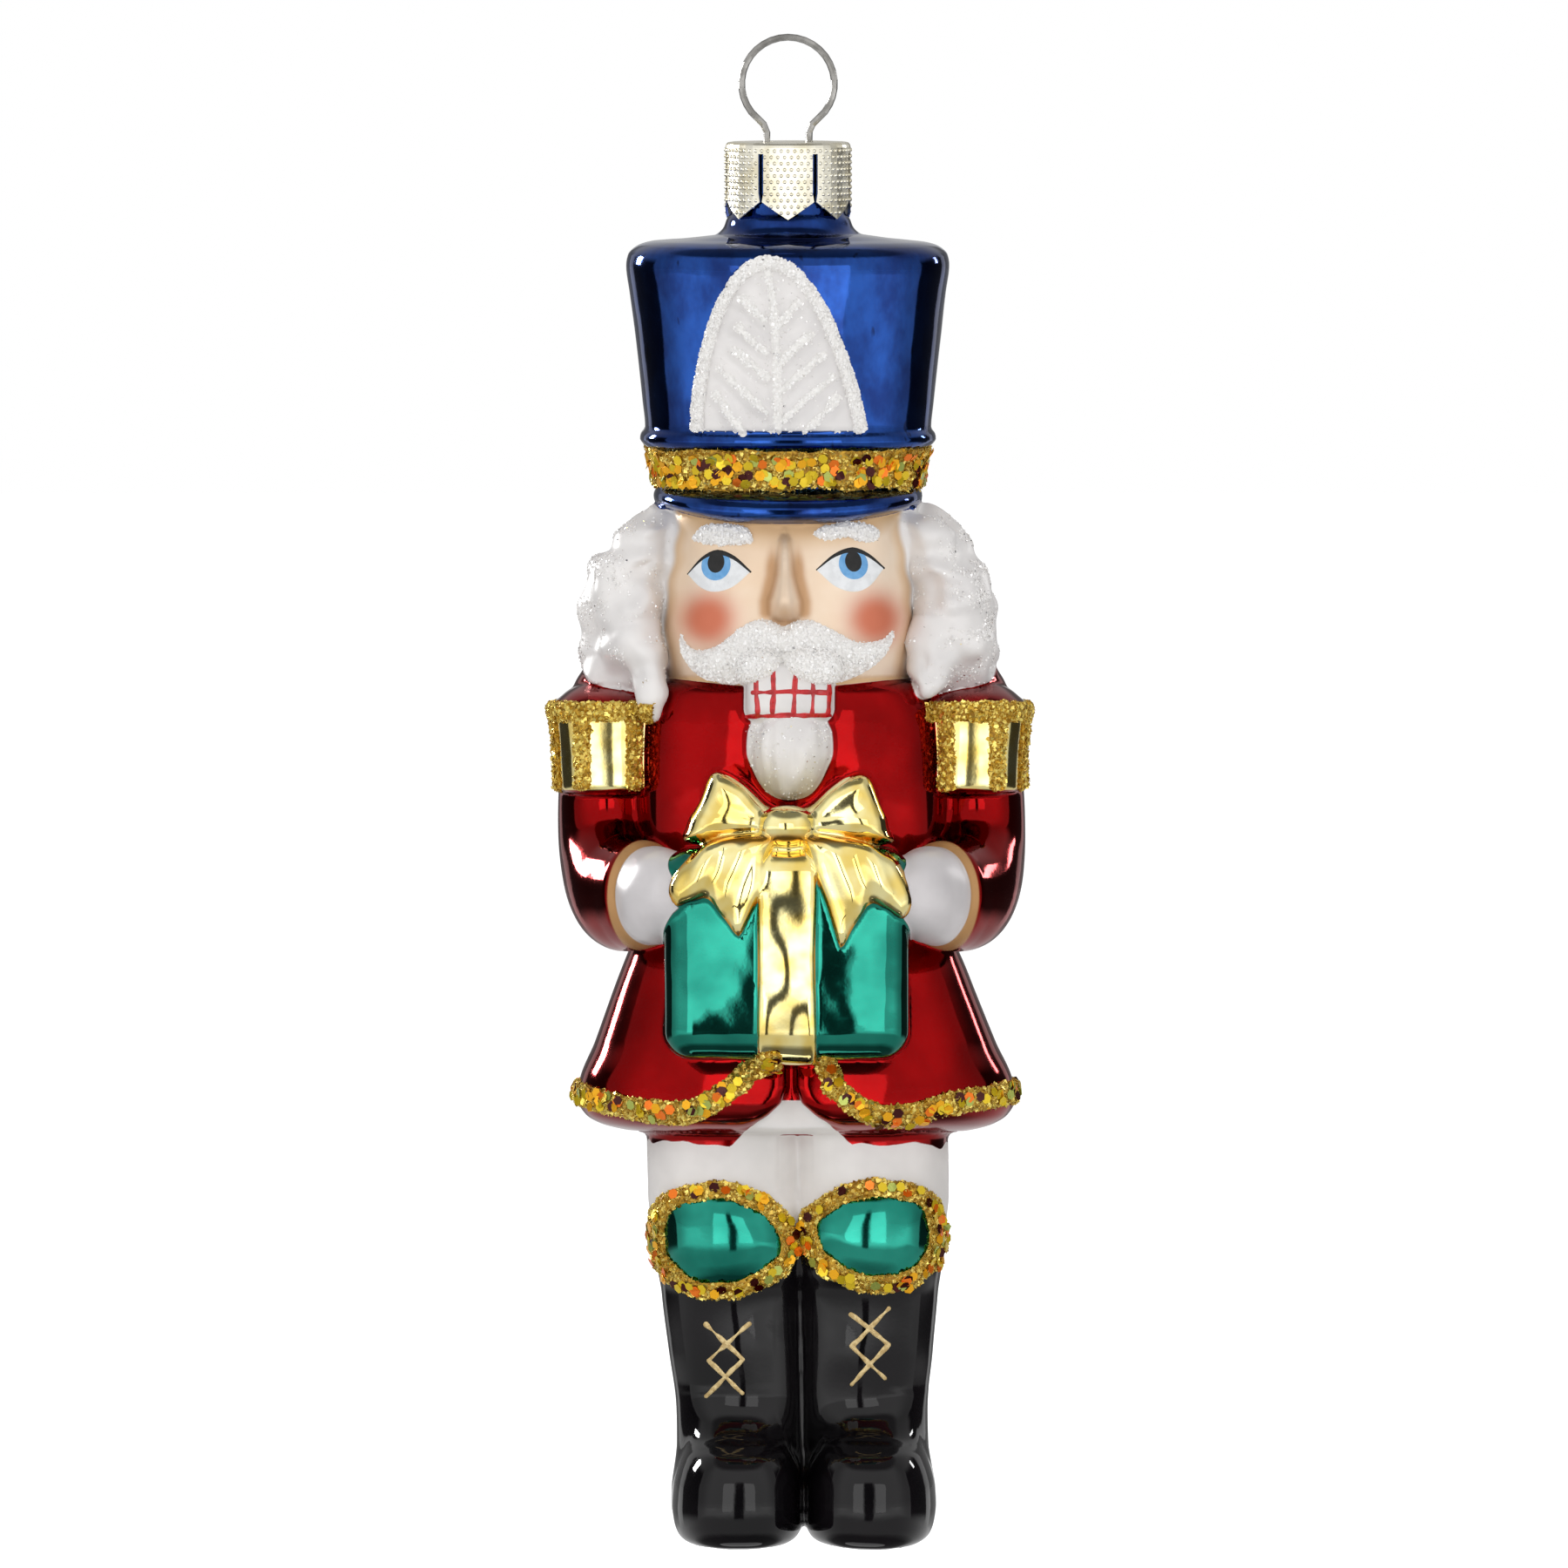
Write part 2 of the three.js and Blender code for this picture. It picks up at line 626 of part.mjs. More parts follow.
// Sleeve: down from the shoulder, round the elbow, forward and inward to the cuff
function sleeve(side, grow = 0, sides = 14, rings = 11) {
  const top = EPAULETTE_TOP_Z - EPAULETTE_DROP / 2;
  const elbow = WAIST_Z + ELBOW_RISE;
  const row = (z, inward, forward, wide, deep) => [
    side * (ARM_REACH - ARM_HALF - ARM_INWARD * inward) + lean(z), -ARM_FORWARD * forward, z, ARM_HALF * wide,
    ARM_DEPTH * deep,
  ];
  return limb([
    row(top, 0.18, -0.05, 0.915, 0.93),
    row(top - SHOULDER_DROP, 0, -0.05, 1, 0.97),
    row(elbow + ELBOW_R * 0.7, 0, 0.05, 1.02, 1),
    row(elbow - ELBOW_R * 0.7, 0.2, 0.37, 1.04, 1),
    row(elbow - ELBOW_R, 0.64, 0.73, 1.02, 0.93),
    row(elbow - ELBOW_R * 0.86, 1, 1, 0.915, 0.87),
  ], { sides, rings, grow });
}

// Mitten glove that comes out of the cuff and lies on the gift's side
function glove(side, grow = 0) {
  const z = WAIST_Z + GLOVE_RISE;
  const row = (t, outer, wide, tall) => [
    side * (GIFT_WIDTH / 2 + GLOVE_HALF * outer) + lean(z), -CUFF_FORWARD - GLOVE_LENGTH * t, z,
    GLOVE_HALF * wide, GLOVE_TALL * tall,
  ];
  return limb([
    row(0, 0.77, 0.85, 0.82),
    row(0.36, 0.51, 1, 1),
    row(0.71, 0.15, 0.9, 0.98),
    row(1, -0.26, 0.59, 0.69),
  ], { sides: 12, rings: 6, grow });
}

const epauletteCentre = (side) => side * (EPAULETTE_REACH - EPAULETTE_HALF) + lean(EPAULETTE_TOP_Z);

// Shoulder board with straight fringe wall, flaring a little to its top edge
function epaulette(side, grow = 0) {
  const x = epauletteCentre(side);
  const row = (z, wide, front, back, inward = 0) => [
    z, EPAULETTE_HALF * wide, EPAULETTE_DEPTH * front, EPAULETTE_DEPTH * back, x - side * inward,
  ];
  return loft([
    row(EPAULETTE_FOOT_Z, 0.78, 0.85, 0.81, EPAULETTE_TAPER),
    row(EPAULETTE_FOOT_Z + EPAULETTE_HEIGHT * 0.07, 0.89, 0.93, 0.89, EPAULETTE_TAPER),
    row(EPAULETTE_TOP_Z - FRINGE_BAND, 0.945, 0.975, 0.945),
    row(EPAULETTE_TOP_Z, 1, 1, 0.975),
    row(EPAULETTE_TOP_Z + EPAULETTE_DOME * 0.2, 0.89, 0.905, 0.89),
    row(EPAULETTE_TOP_Z + EPAULETTE_DOME * 0.7, 0.67, 0.73, 0.73),
    row(EPAULETTE_TOP_Z + EPAULETTE_DOME, 0.37, 0.46, 0.46),
  ], { sides: 20, square: 2.9, grow });
}

// Teeth block under the moustache and the beard that hangs below it
function jaw(grow = 0) {
  const block = plate(
    roundedRectangle(lean(COLLAR_Z), JAW_TOP_Z - JAW_HEIGHT / 2, JAW_WIDTH, JAW_HEIGHT, JAW_RIM_R),
    { front: JAW_DEPTH, back: -JAW_ROOT, round: JAW_RIM_R * 0.8, grow },
  );
  const root = JAW_TOP_Z - JAW_HEIGHT * 0.9;
  const row = (drop, wide, deep) => [
    root - BEARD_DROP * drop, (JAW_WIDTH / 2) * wide, BEARD_DEPTH * deep, BEARD_BACK, lean(root), -JAW_ROOT,
  ];
  const beard = loft([
    row(1, 0.3, 0.7), row(0.9, 0.72, 0.85), row(0.55, 1.045, 1), row(0.15, 1, 0.94), row(0, 0.91, 0.82),
  ], { sides: 14, rings: 6, square: 2.3, grow });
  return block.add(beard);
}

const giftX = lean(GIFT_BOTTOM_Z) - GIFT_SHIFT;

// Gift box with soft edges, sunk into the chest behind
function giftBox(grow = 0) {
  const middle = (GIFT_TOP_Z + GIFT_BOTTOM_Z) / 2;
  const rim = GIFT_RIM_R + grow;
  return plate(
    roundedRectangle(giftX, middle, GIFT_WIDTH + 2 * grow, GIFT_HEIGHT + 2 * grow, rim),
    { front: GIFT_FRONT + grow, back: -GIFT_ROOT, round: rim * 0.8 },
  );
}

// Ribbon down the front, two bow loops standing on the box, the knot and two pointed tails
function ribbonAndBow(grow = 0) {
  const knotZ = GIFT_TOP_Z + BOW_LIFT;
  const reach = GIFT_FRONT + RIBBON_PROUD;
  const half = BOW_SPAN / 2;
  const band = plate(
    roundedRectangle(
      giftX, (knotZ + GIFT_BOTTOM_Z) / 2 - RIBBON_PROUD, RIBBON_WIDTH, knotZ - GIFT_BOTTOM_Z, RIBBON_PROUD,
    ),
    { front: reach, back: -BOW_ROOT, round: RIBBON_PROUD * 0.75, grow },
  );
  const wings = [-1, 1].flatMap((side) => {
    const up = (x, rise) => [giftX + side * half * x, knotZ + BOW_RISE * rise];
    const down = (x, drop) => [giftX + side * half * x, knotZ - TAIL_DROP * drop];
    const loop = smoothShape([
      up(0.1, -0.07), up(0.5, -0.23), up(1, -0.17), up(0.96, 0.09), up(0.78, 0.76), up(0.6, 0.74),
      up(0.34, 0.42), up(0.1, 0.23),
    ], 16);
    const tail = polygon([
      down(0.14, 0.06), down(0.85, 0.17), down(1.18, 0.42), down(1.12, 0.62), down(0.92, 0.58), down(0.6, 1),
      down(0.5, 1), down(0.24, 0.5), down(0.12, 0.28),
    ]);
    return [
      plate(loop, { front: GIFT_FRONT - RIBBON_PROUD, back: -BOW_ROOT, round: BOW_PROUD * 0.5, grow }),
      plate(tail, { front: reach + BOW_PROUD * 0.4, back: -BOW_ROOT, round: BOW_PROUD * 0.35, grow }),
    ];
  });
  const knot = limb([
    [giftX, -GIFT_FRONT + KNOT_R * 2.7, knotZ, KNOT_R * 0.73, KNOT_R * 0.82],
    [giftX, -GIFT_FRONT + KNOT_R * 0.45, knotZ, KNOT_R, KNOT_R],
    [giftX, -GIFT_FRONT - BOW_PROUD, knotZ, KNOT_R * 0.45, KNOT_R * 0.45],
  ], { sides: 10, rings: 5, grow });
  return join([band, knot, ...wings]);
}

// Coat skirt, flaring to a rolled hem, open in a notch in front
function skirtForm(grow = 0, sides = 32) {
  const row = (t, half, inset = 0) => {
    const z = mix(HEM_Z, WAIST_Z, t);
    const share = half / SKIRT_HALF;
    return [z, half, SKIRT_DEPTH * share - HEM_ROLL * inset, SKIRT_BACK * share - HEM_ROLL * inset, lean(z)];
  };
  return loft([
    row(0, SKIRT_HALF * 0.73, 1),
    row(0.04, SKIRT_HALF * 0.86, 0.5),
    row(0.09, SKIRT_HALF * 0.955),
    row(0.17, SKIRT_HALF),
    row(0.26, SKIRT_HALF),
    row(0.5, mix(SKIRT_HALF, WAIST_HALF, 0.34)),
    row(0.75, mix(SKIRT_HALF, WAIST_HALF, 0.68)),
    row(1, WAIST_HALF),
    row(1.08, WAIST_HALF * 0.94, 1),
  ], { sides, square: 2.4, grow });
}

// The notch between the two coat fronts, from under the gift to the hem
function frontNotch(grow = 0) {
  const x = lean(HEM_Z) + HEM_NOTCH_SHIFT;
  const above = GIFT_BOTTOM_Z + RIBBON_PROUD;
  const edge = (side) => [
    [1, -0.45], [0.57, 0.2], [0.2, 0.59], [0.06, 1],
  ].map(([wide, rise]) => [x + side * HEM_NOTCH_HALF * wide, HEM_Z + HEM_NOTCH_RISE * rise]);
  const narrow = HEM_NOTCH_HALF * 0.05;
  return plate(
    polygon([...edge(-1), [x - narrow, above], [x + narrow, above], ...edge(1).reverse()]),
    { front: THROUGH, back: HEM_NOTCH_DEPTH - SKIRT_DEPTH, grow },
  );
}

// Half width of both legs together, growing from the boots to below the hem
const legsHalf = (z) => {
  const full = HEM_Z - LEG_ROOT;
  return mix(ANKLES_HALF, LEGS_HALF, clamp((z - BOOT_HEIGHT) / (full - BOOT_HEIGHT)));
};

// One leg: trouser, swelling knee and boot shaft
function leg(side, grow = 0, sides = 20) {
  const row = (z, swell = 0) => {
    const half = (legsHalf(z) + LEG_OVERLAP) / 2 + swell;
    const share = half / ((LEGS_HALF + LEG_OVERLAP) / 2);
    const x = lean(z) + side * (legsHalf(z) + swell * 0.3 - half);
    return [z, half, LEG_DEPTH * share + swell, LEG_BACK * share, x];
  };
  const kneeAt = (share) => KNEE_Z + (KNEE_HEIGHT / 2) * share;
  return loft([
    row(TOE_HEIGHT * 0.4),
    row(BOOT_HEIGHT),
    row(mix(BOOT_HEIGHT, kneeAt(-1), 0.5)),
    row(kneeAt(-1)),
    row(kneeAt(-0.77), KNEE_SWELL * 0.7),
    row(KNEE_Z, KNEE_SWELL),
    row(kneeAt(0.77), KNEE_SWELL * 0.7),
    row(kneeAt(1)),
    row(HEM_Z - HEM_ROLL),
    row(HEM_Z + LEG_ROOT),
  ], { sides, square: 2.15, grow });
}

// One boot foot with a high rounded toe
function foot(side, grow = 0) {
  const half = FEET_HALF / 2;
  const row = (rise, wide, front, back) => [
    TOE_HEIGHT * rise, half * wide, TOE_DEPTH * front, LEG_BACK * back, lean(0) + side * half,
  ];
  return loft([
    row(0, 0.76, 0.853, 0.765),
    row(0.094, 0.94, 0.947, 0.956),
    row(0.4, 1, 1, 1),
    row(0.72, 0.97, 0.967, 1),
    row(0.94, 0.86, 0.84, 0.97),
    row(1.12, 0.83, 0.56, 0.956),
    row(1.51, 0.82, 0.373, 0.82),
  ], { sides: 18, rings: 10, square: 2.5, grow });
}

// Centreline half width of the plume at a height, and its sideways place
const plumeFoot = BEAD_Z + BEAD_HEIGHT * 0.7;
const plumeX = (t) => PLUME_SHIFT + PLUME_LEAN * t ** 3;
const plumeHalf = (t) => PLUME_HALF * (1 - t * t) ** 0.6;

// The plume's arch, drawn in by an inset, as front-view points from its right foot to its left
function plumeOutline(inset, steps) {
  const shrink = (PLUME_HALF - inset) / PLUME_HALF;
  const side = (sign) => Array.from({ length: steps + 1 }, (_, i) => {
    const t = Math.sin((i / steps) * (Math.PI / 2));
    return [plumeX(t) + sign * plumeHalf(t) * shrink, plumeFoot + t * (PLUME_HEIGHT - inset)];
  });
  return [...side(1), ...side(-1).reverse().slice(1)];
}

// Raised shield on the hat that carries the plume's trims
function plumeShield(grow = 0) {
  return hat(PLUME_PROUD + grow).intersect(plate(polygon(plumeOutline(PLUME_MARGIN, 8)), frontOnly));
}

// Every outer form of the blown glass, each grown by the same amount
function glassForms(grow = 0) {
  const skirt = grow > 0 ? skirtForm(grow) : skirtForm().subtract(frontNotch());
  return [
    hat(grow), neck(grow), visor(grow), plumeShield(grow), head(grow), nose(grow), wig(grow), chest(grow),
    jaw(grow), giftBox(grow), ribbonAndBow(grow), skirt,
    ...[-1, 1].flatMap((side) => [
      curlRoll(side, grow), sleeve(side, grow), glove(side, grow), epaulette(side, grow), leg(side, grow),
      foot(side, grow),
    ]),
  ];
}

// Hollow of the shell: the main forms drawn in by the wall, opened through the neck
function glassHollow() {
  const inset = -GLASS_WALL;
  const bore = lathe([
    new THREE.Vector2(0, CROWN_Z - NECK_ROOT * 1.5),
    new THREE.Vector2(NECK_R - GLASS_WALL, CROWN_Z - NECK_ROOT * 1.5),
    new THREE.Vector2(NECK_R - GLASS_WALL, NECK_TOP_Z + 1),
    new THREE.Vector2(0, NECK_TOP_Z + 1),
  ], 24);
  const crotch = loft([
    [BOOT_HEIGHT, LEG_DEPTH * 0.29, LEG_DEPTH * 0.34, LEG_BACK * 0.35, lean(BOOT_HEIGHT)],
    [HEM_Z + LEG_ROOT, LEG_DEPTH * 0.34, LEG_DEPTH * 0.45, LEG_BACK * 0.44, lean(HEM_Z)],
  ], { sides: 12 });
  const forms = [
    hat(inset, 16), bore, head(inset, 14), wig(inset, 12), chest(inset, 14), giftBox(inset),
    skirtForm(inset, 16).subtract(frontNotch(GLASS_WALL)), crotch,
    ...[-1, 1].flatMap((side) => [sleeve(side, inset, 8, 7), leg(side, inset, 10), foot(side, inset)]),
  ];
  return join(forms);
}

// A trim layer lying on a form, cut to a front-view or other region and kept clear of all other glass
function trimOn(form, region, thick, clearOf) {
  return form(SEAT_GAP + thick).subtract(form(SEAT_GAP)).intersect(region).subtract(clearOf);
}

// A level layer between two heights, right through the figure
function slab(z0, z1) {
  return plate(
    polygon([[-THROUGH, z0], [THROUGH, z0], [THROUGH, z1], [-THROUGH, z1]]),
    { front: THROUGH, back: THROUGH },
  );
}

function hatBand(clearOf) {
  const low = BRIM_Z + VISOR_HEIGHT + BAND_MARGIN;
  return trimOn(hat, slab(low, low + BAND_HEIGHT - 3 * BAND_MARGIN), GLITTER_THICK, clearOf);
}

function plumeBorder(clearOf) {
  const outer = plate(polygon(plumeOutline(0, 14)), frontOnly);
  const inner = plate(polygon(plumeOutline(PLUME_ROPE, 14).map(([x, z], i, all) => {
    const end = i === 0 || i === all.length - 1;
    return [x, end ? z - PLUME_ROPE : z];
  })), frontOnly);
  return trimOn((grow) => hat(PLUME_PROUD + grow), outer.subtract(inner), GLITTER_THICK, clearOf);
}

function plumeBarbs(clearOf) {
  const share = (z) => clamp((z - plumeFoot) / PLUME_HEIGHT);
  const x = (z) => plumeX(share(z));
  const tip = plumeFoot + SPINE_TOP;
  const shapes = [stripShape([[x(plumeFoot), plumeFoot + PLUME_MARGIN], [x(tip), tip]], BARB_WIDTH, 3)];
  for (let i = 0; i < BARB_COUNT; i += 1) {
    const root = tip - BARB_START - i * BARB_PITCH;
    const reach = Math.min(BARB_REACH, plumeHalf(share(root + BARB_REACH * 0.7)) * 0.6);
    [-1, 1].forEach((side) => shapes.push(
      stripShape([[x(root), root], [x(root) + side * reach, root + reach * 0.95]], BARB_WIDTH, 1),
    ));
  }
  const inside = plate(polygon(plumeOutline(PLUME_ROPE + SEAT_GAP, 10)), frontOnly);
  const region = join(shapes.map((shape) => plate(shape, frontOnly))).intersect(inside);
  return trimOn((grow) => hat(PLUME_PROUD + grow), region, GLITTER_THICK, clearOf);
}

function eyebrow(side, clearOf) {
  const at = (along, rise) => [
    side * (BROW_SPACE + BROW_LENGTH * along), BRIM_Z - BROW_HEIGHT + BROW_HEIGHT * rise,
  ];
  const region = plate(smoothShape([
    at(0, 0.26), at(0.45, 0.53), at(1, -0.26), at(0.9, -0.47), at(0.45, -0.16), at(0, -0.47),
  ], 18), frontOnly);
  return trimOn(head, region, BROW_THICK, clearOf);
}

function moustache(clearOf) {
  const top = COLLAR_Z + HEAD_HEIGHT * 0.3;
  const at = (along, drop) => [
    MOUSTACHE_SHIFT + (MOUSTACHE_SPAN / 2) * along, top - MOUSTACHE_DROP * drop,
  ];
  const wing = (side) => [
    [0.28, -0.17], [0.62, 0.12], [0.88, 0.27], [1, 0.15], [0.86, 0.65], [0.5, 1], [0.2, 0.88],
  ].map(([along, drop]) => at(side * along, drop));
  const outline = [at(0, 0), ...wing(1), at(0, 0.58), ...wing(-1).reverse()];
  return trimOn(head, plate(smoothShape(outline, 48), frontOnly), MOUSTACHE_THICK, clearOf);
}

// Top band of the shoulder board with fringe strips hanging from it all round the outer side
function epauletteTrim(side, clearOf) {
  const x = epauletteCentre(side);
  const foot = EPAULETTE_FOOT_Z + BAND_MARGIN * 5;
  const top = EPAULETTE_TOP_Z + BAND_MARGIN * 2;
  const innerX = x - side * EPAULETTE_HALF * 0.67;
  const outerSide = plate(polygon([
    [innerX, foot], [x + side * THROUGH, foot], [x + side * THROUGH, top], [innerX, top],
  ]), { front: THROUGH, back: THROUGH });
  const turn = 1.95;
  const strips = Array.from({ length: FRINGE_STRIPS }, (_, i) => {
    const bar = new THREE.BoxGeometry(THROUGH, FRINGE_STRIP, EPAULETTE_HEIGHT);
    bar.translate(THROUGH / 2 + 1, 0, EPAULETTE_TOP_Z - EPAULETTE_HEIGHT / 2);
    bar.rotateZ(mix(-turn, turn, i / (FRINGE_STRIPS - 1)) + (side < 0 ? Math.PI : 0));
    bar.translate(x, 0, 0);
    return toSolid(bar);
  });
  const region = join([slab(EPAULETTE_TOP_Z - FRINGE_BAND, top), ...strips]).intersect(outerSide);
  return trimOn((grow) => epaulette(side, grow), region, GLITTER_THICK, clearOf);
}

// Hem band: level round the back, dipping along the two coat fronts and climbing the notch
function hemTrim(clearOf) {
  const x = lean(HEM_Z) + HEM_NOTCH_SHIFT;
  const level = HEM_Z + HEM_RISE;
  const fronts = [-1, 1].map((side) => {
    const at = (along, dip) => [x + side * SKIRT_HALF * along, level - HEM_DIP * dip];
    const line = [
      at(1.2, 0), at(0.86, 0.35), at(0.62, 0.94), at(0.44, 1), at(0.3, 0.18), at(0.2, -0.94),
      [x + side * SKIRT_HALF * 0.11, GIFT_BOTTOM_Z - RIBBON_PROUD * 1.5],
    ];
    return plate(stripShape(line, HEM_BAND, 16), { front: THROUGH, back: 0 });
  });
  const back = slab(level - HEM_BAND / 2, level + HEM_BAND / 2)
    .intersect(plate(polygon([
      [-THROUGH, 0], [THROUGH, 0], [THROUGH, HEM_Z * 2], [-THROUGH, HEM_Z * 2],
    ]), { front: GLITTER_THICK, back: THROUGH }));
  return trimOn(skirtForm, join([...fronts, back]), GLITTER_THICK, clearOf);
}

// Closed loop round the knee plate on the front of one leg
function kneeTrim(side, clearOf) {
  const middle = lean(KNEE_Z);
  const half = KNEE_PLATE_WIDTH / 2 + KNEE_BAND;
  const x = middle + side * (half + KNEE_SPACE);
  const oval = (grow) => {
    const w = half - KNEE_BAND + grow;
    const h = KNEE_HEIGHT / 2 - KNEE_BAND + grow + KNEE_SPACE;
    return smoothShape([
      [-1, 0], [-0.55, 0.86], [0.3, 1], [1, 0.62], [1, -0.62], [0.3, -1], [-0.55, -0.8],
    ].map(([along, rise]) => [x + side * w * along, KNEE_Z + h * rise]), 30);
  };
  const inner = middle + side * KNEE_SPACE * 0.6;
  const ownSide = plate(polygon([
    [inner, 0], [middle + side * THROUGH, 0], [middle + side * THROUGH, HEM_Z * 2], [inner, HEM_Z * 2],
  ]), frontOnly);
  const region = plate(oval(KNEE_BAND), frontOnly).subtract(plate(oval(0), frontOnly)).intersect(ownSide);
  return trimOn((grow) => leg(side, grow), region, GLITTER_THICK, clearOf);
}

// Cap: a drawn sheet cup with a rounded rim, slit into pointed petals, with two wire holes
function cap() {
  const foot = CAP_TOP_Z - CAP_SKIRT;
  const sides = PETAL_COUNT * 6;
  const cup = (r, top) => {
    const profile = [new THREE.Vector2(0, foot), new THREE.Vector2(r, foot)];
    const steps = 3;
    for (let i = 0; i <= steps; i += 1) {
      const angle = (i / steps) * (Math.PI / 2);
      const inward = CAP_RIM_R * (1 - Math.cos(angle));
      const down = CAP_RIM_R * (1 - Math.sin(angle));
      profile.push(new THREE.Vector2(r - inward, top - down));
    }
    profile.push(new THREE.Vector2(0, top));
    return lathe(profile, sides);
  };
  const innerR = CAP_R - CAP_SHEET;
  const below = foot - CAP_SHEET;
  const above = foot + CAP_SHEET;
  const inner = cup(innerR, CAP_TOP_Z - CAP_SHEET).add(lathe([
    new THREE.Vector2(0, below), new THREE.Vector2(innerR, below),
    new THREE.Vector2(innerR, above), new THREE.Vector2(0, above),
  ], sides));
  const pitch = (Math.PI * 2 * CAP_R) / PETAL_COUNT;
  const slitTop = CAP_TOP_Z - SLIT_START;
  const shoulder = CAP_TOP_Z - PETAL_SHOULDER;
  const edge = (side) => [
    [side * SLIT_WIDTH * 0.5, slitTop], [side * SLIT_WIDTH * 0.5, shoulder + PETAL_SLOPE],
    [side * SLIT_WIDTH * 0.22, shoulder], [side * pitch * 0.53, foot - CAP_SHEET / 2],
    [side * pitch * 0.53, foot - PETAL_SLOPE],
  ];
  const between = polygon([...edge(-1), ...edge(1).reverse()]);
  const notches = Array.from({ length: PETAL_COUNT }, (_, i) => {
    const angle = ((i + 0.5) / PETAL_COUNT) * Math.PI * 2;
    return turned(plate(between, { front: CAP_R * 2, back: -CAP_R * 0.7 }), angle);
  });
  const holes = [-1, 1].map((side) => {
    const holeR = WIRE_R + WIRE_CLEARANCE;
    const geometry = new THREE.CylinderGeometry(holeR, holeR, CAP_SHEET * 4, 12);
    geometry.rotateX(Math.PI / 2);
    geometry.translate(side * LEG_SPREAD, 0, CAP_TOP_Z);
    return toSolid(geometry);
  });
  return [...notches, ...holes].reduce((sum, cut) => sum.subtract(cut), cup(CAP_R, CAP_TOP_Z).subtract(inner));
}

// A solid turned about the vertical axis
function turned(solid, angle) {
  const geometry = toGeometry(solid);
  geometry.rotateZ(angle);
  return toSolid(geometry);
}

// Hanger: round loop, a kink into each straight leg, and sprung legs that bow out to the neck's bore
function hanger() {
  const inner = NECK_R - GLASS_WALL - WIRE_R - WIRE_CLEARANCE;
  const half = [];
  const openAngle = Math.asin(LEG_SPREAD / LOOP_R);
  const arcSteps = 11;
  for (let i = 0; i <= arcSteps; i += 1) {
    const angle = mix(0, Math.PI - openAngle - LOOP_FLARE, i / arcSteps);
    half.push([LOOP_R * Math.sin(angle), LOOP_Z + LOOP_R * Math.cos(angle)]);
  }
  const under = (x, share) => [x, CAP_TOP_Z - GRIP_LENGTH * share];
  half.push(
    [LEG_SPREAD, CAP_TOP_Z + KINK_RISE * 0.7],
    [LEG_SPREAD, CAP_TOP_Z + KINK_RISE * 0.24],
    under(LEG_SPREAD, 0.064),
    under(mix(LEG_SPREAD, inner, 0.55), 0.18),
    under(inner, 0.34),
    under(inner - GRIP_SPRING, 0.59),
    under(inner - GRIP_SPRING * 0.2, 0.93),
    under(inner, 1),
  );
  const left = half.slice(1).reverse().map(([x, z]) => new THREE.Vector3(-x, 0, z));
  const right = half.map(([x, z]) => new THREE.Vector3(x, 0, z));
  const path = new THREE.CatmullRomCurve3([...left, ...right], false, 'centripetal');
  const sides = 8;
  const round = new THREE.Shape(Array.from({ length: sides }, (_, i) => {
    const angle = (i / sides) * Math.PI * 2;
    return new THREE.Vector2(Math.cos(angle) * WIRE_R, Math.sin(angle) * WIRE_R);
  }));
  return toSolid(new THREE.ExtrudeGeometry(round, { extrudePath: path, steps: 84, bevelEnabled: false }));
}

function toGeometry(solid) {
  const { vertProperties, triVerts } = solid.getMesh();
  const geometry = new THREE.BufferGeometry();
  geometry.setAttribute('position', new THREE.Float32BufferAttribute(vertProperties, 3));
  geometry.setIndex(Array.from(triVerts));
  return geometry;
}

function finish(color, roughness, metalness) {
  return new THREE.MeshStandardMaterial({ color, roughness, metalness });
}

const champagneSheet = finish(0xcfc19a, 0.38, 0.9);
const steelWire = finish(0x9a9a9a, 0.3, 0.95);
const redLacquer = finish(0x8f0d12, 0.08, 0.85);
const whiteGlitter = finish(0xf0eff0, 0.6, 0.1);
const goldGlitter = finish(0xcf9f2a, 0.45, 0.7);

const ornament = new THREE.Group();
ornament.position.z = -EYE_Z;

function addPiece(name, solid, material) {
  const mesh = new THREE.Mesh(toGeometry(cleanSeams(solid)), material);
  mesh.name = name;
  ornament.add(mesh);
}

const outer = join(glassForms());
const clearZone = join(glassForms(SEAT_GAP - SEAT_MARGIN));

addPiece('hanger_wire', hanger(), steelWire);
addPiece('cap', cap(), champagneSheet);
addPiece('glass_body', outer.subtract(glassHollow()), redLacquer);
addPiece('hat_band', hatBand(clearZone), goldGlitter);
addPiece('plume_border', plumeBorder(clearZone), whiteGlitter);
addPiece('plume_barbs', plumeBarbs(clearZone), whiteGlitter);
addPiece('moustache', moustache(clearZone), whiteGlitter);
addPiece('hem_trim', hemTrim(clearZone), goldGlitter);
[['left', -1], ['right', 1]].forEach(([name, side]) => {
  addPiece(`eyebrow_${name}`, eyebrow(side, clearZone), whiteGlitter);
  addPiece(`epaulette_trim_${name}`, epauletteTrim(side, clearZone), goldGlitter);
  addPiece(`knee_trim_${name}`, kneeTrim(side, clearZone), goldGlitter);
});

export default ornament;
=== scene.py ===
"""Looks of a blown glass nutcracker ornament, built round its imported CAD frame.

Shapes are worked out in millimetres. Heights are measured up from the figure's soles, and the
front faces -Y. The glass is one smooth field of joined forms, meshed once. Paint edges are signed
distances kept on its points, and each glitter trim is a bed of glue with its flakes on top.
"""

import math

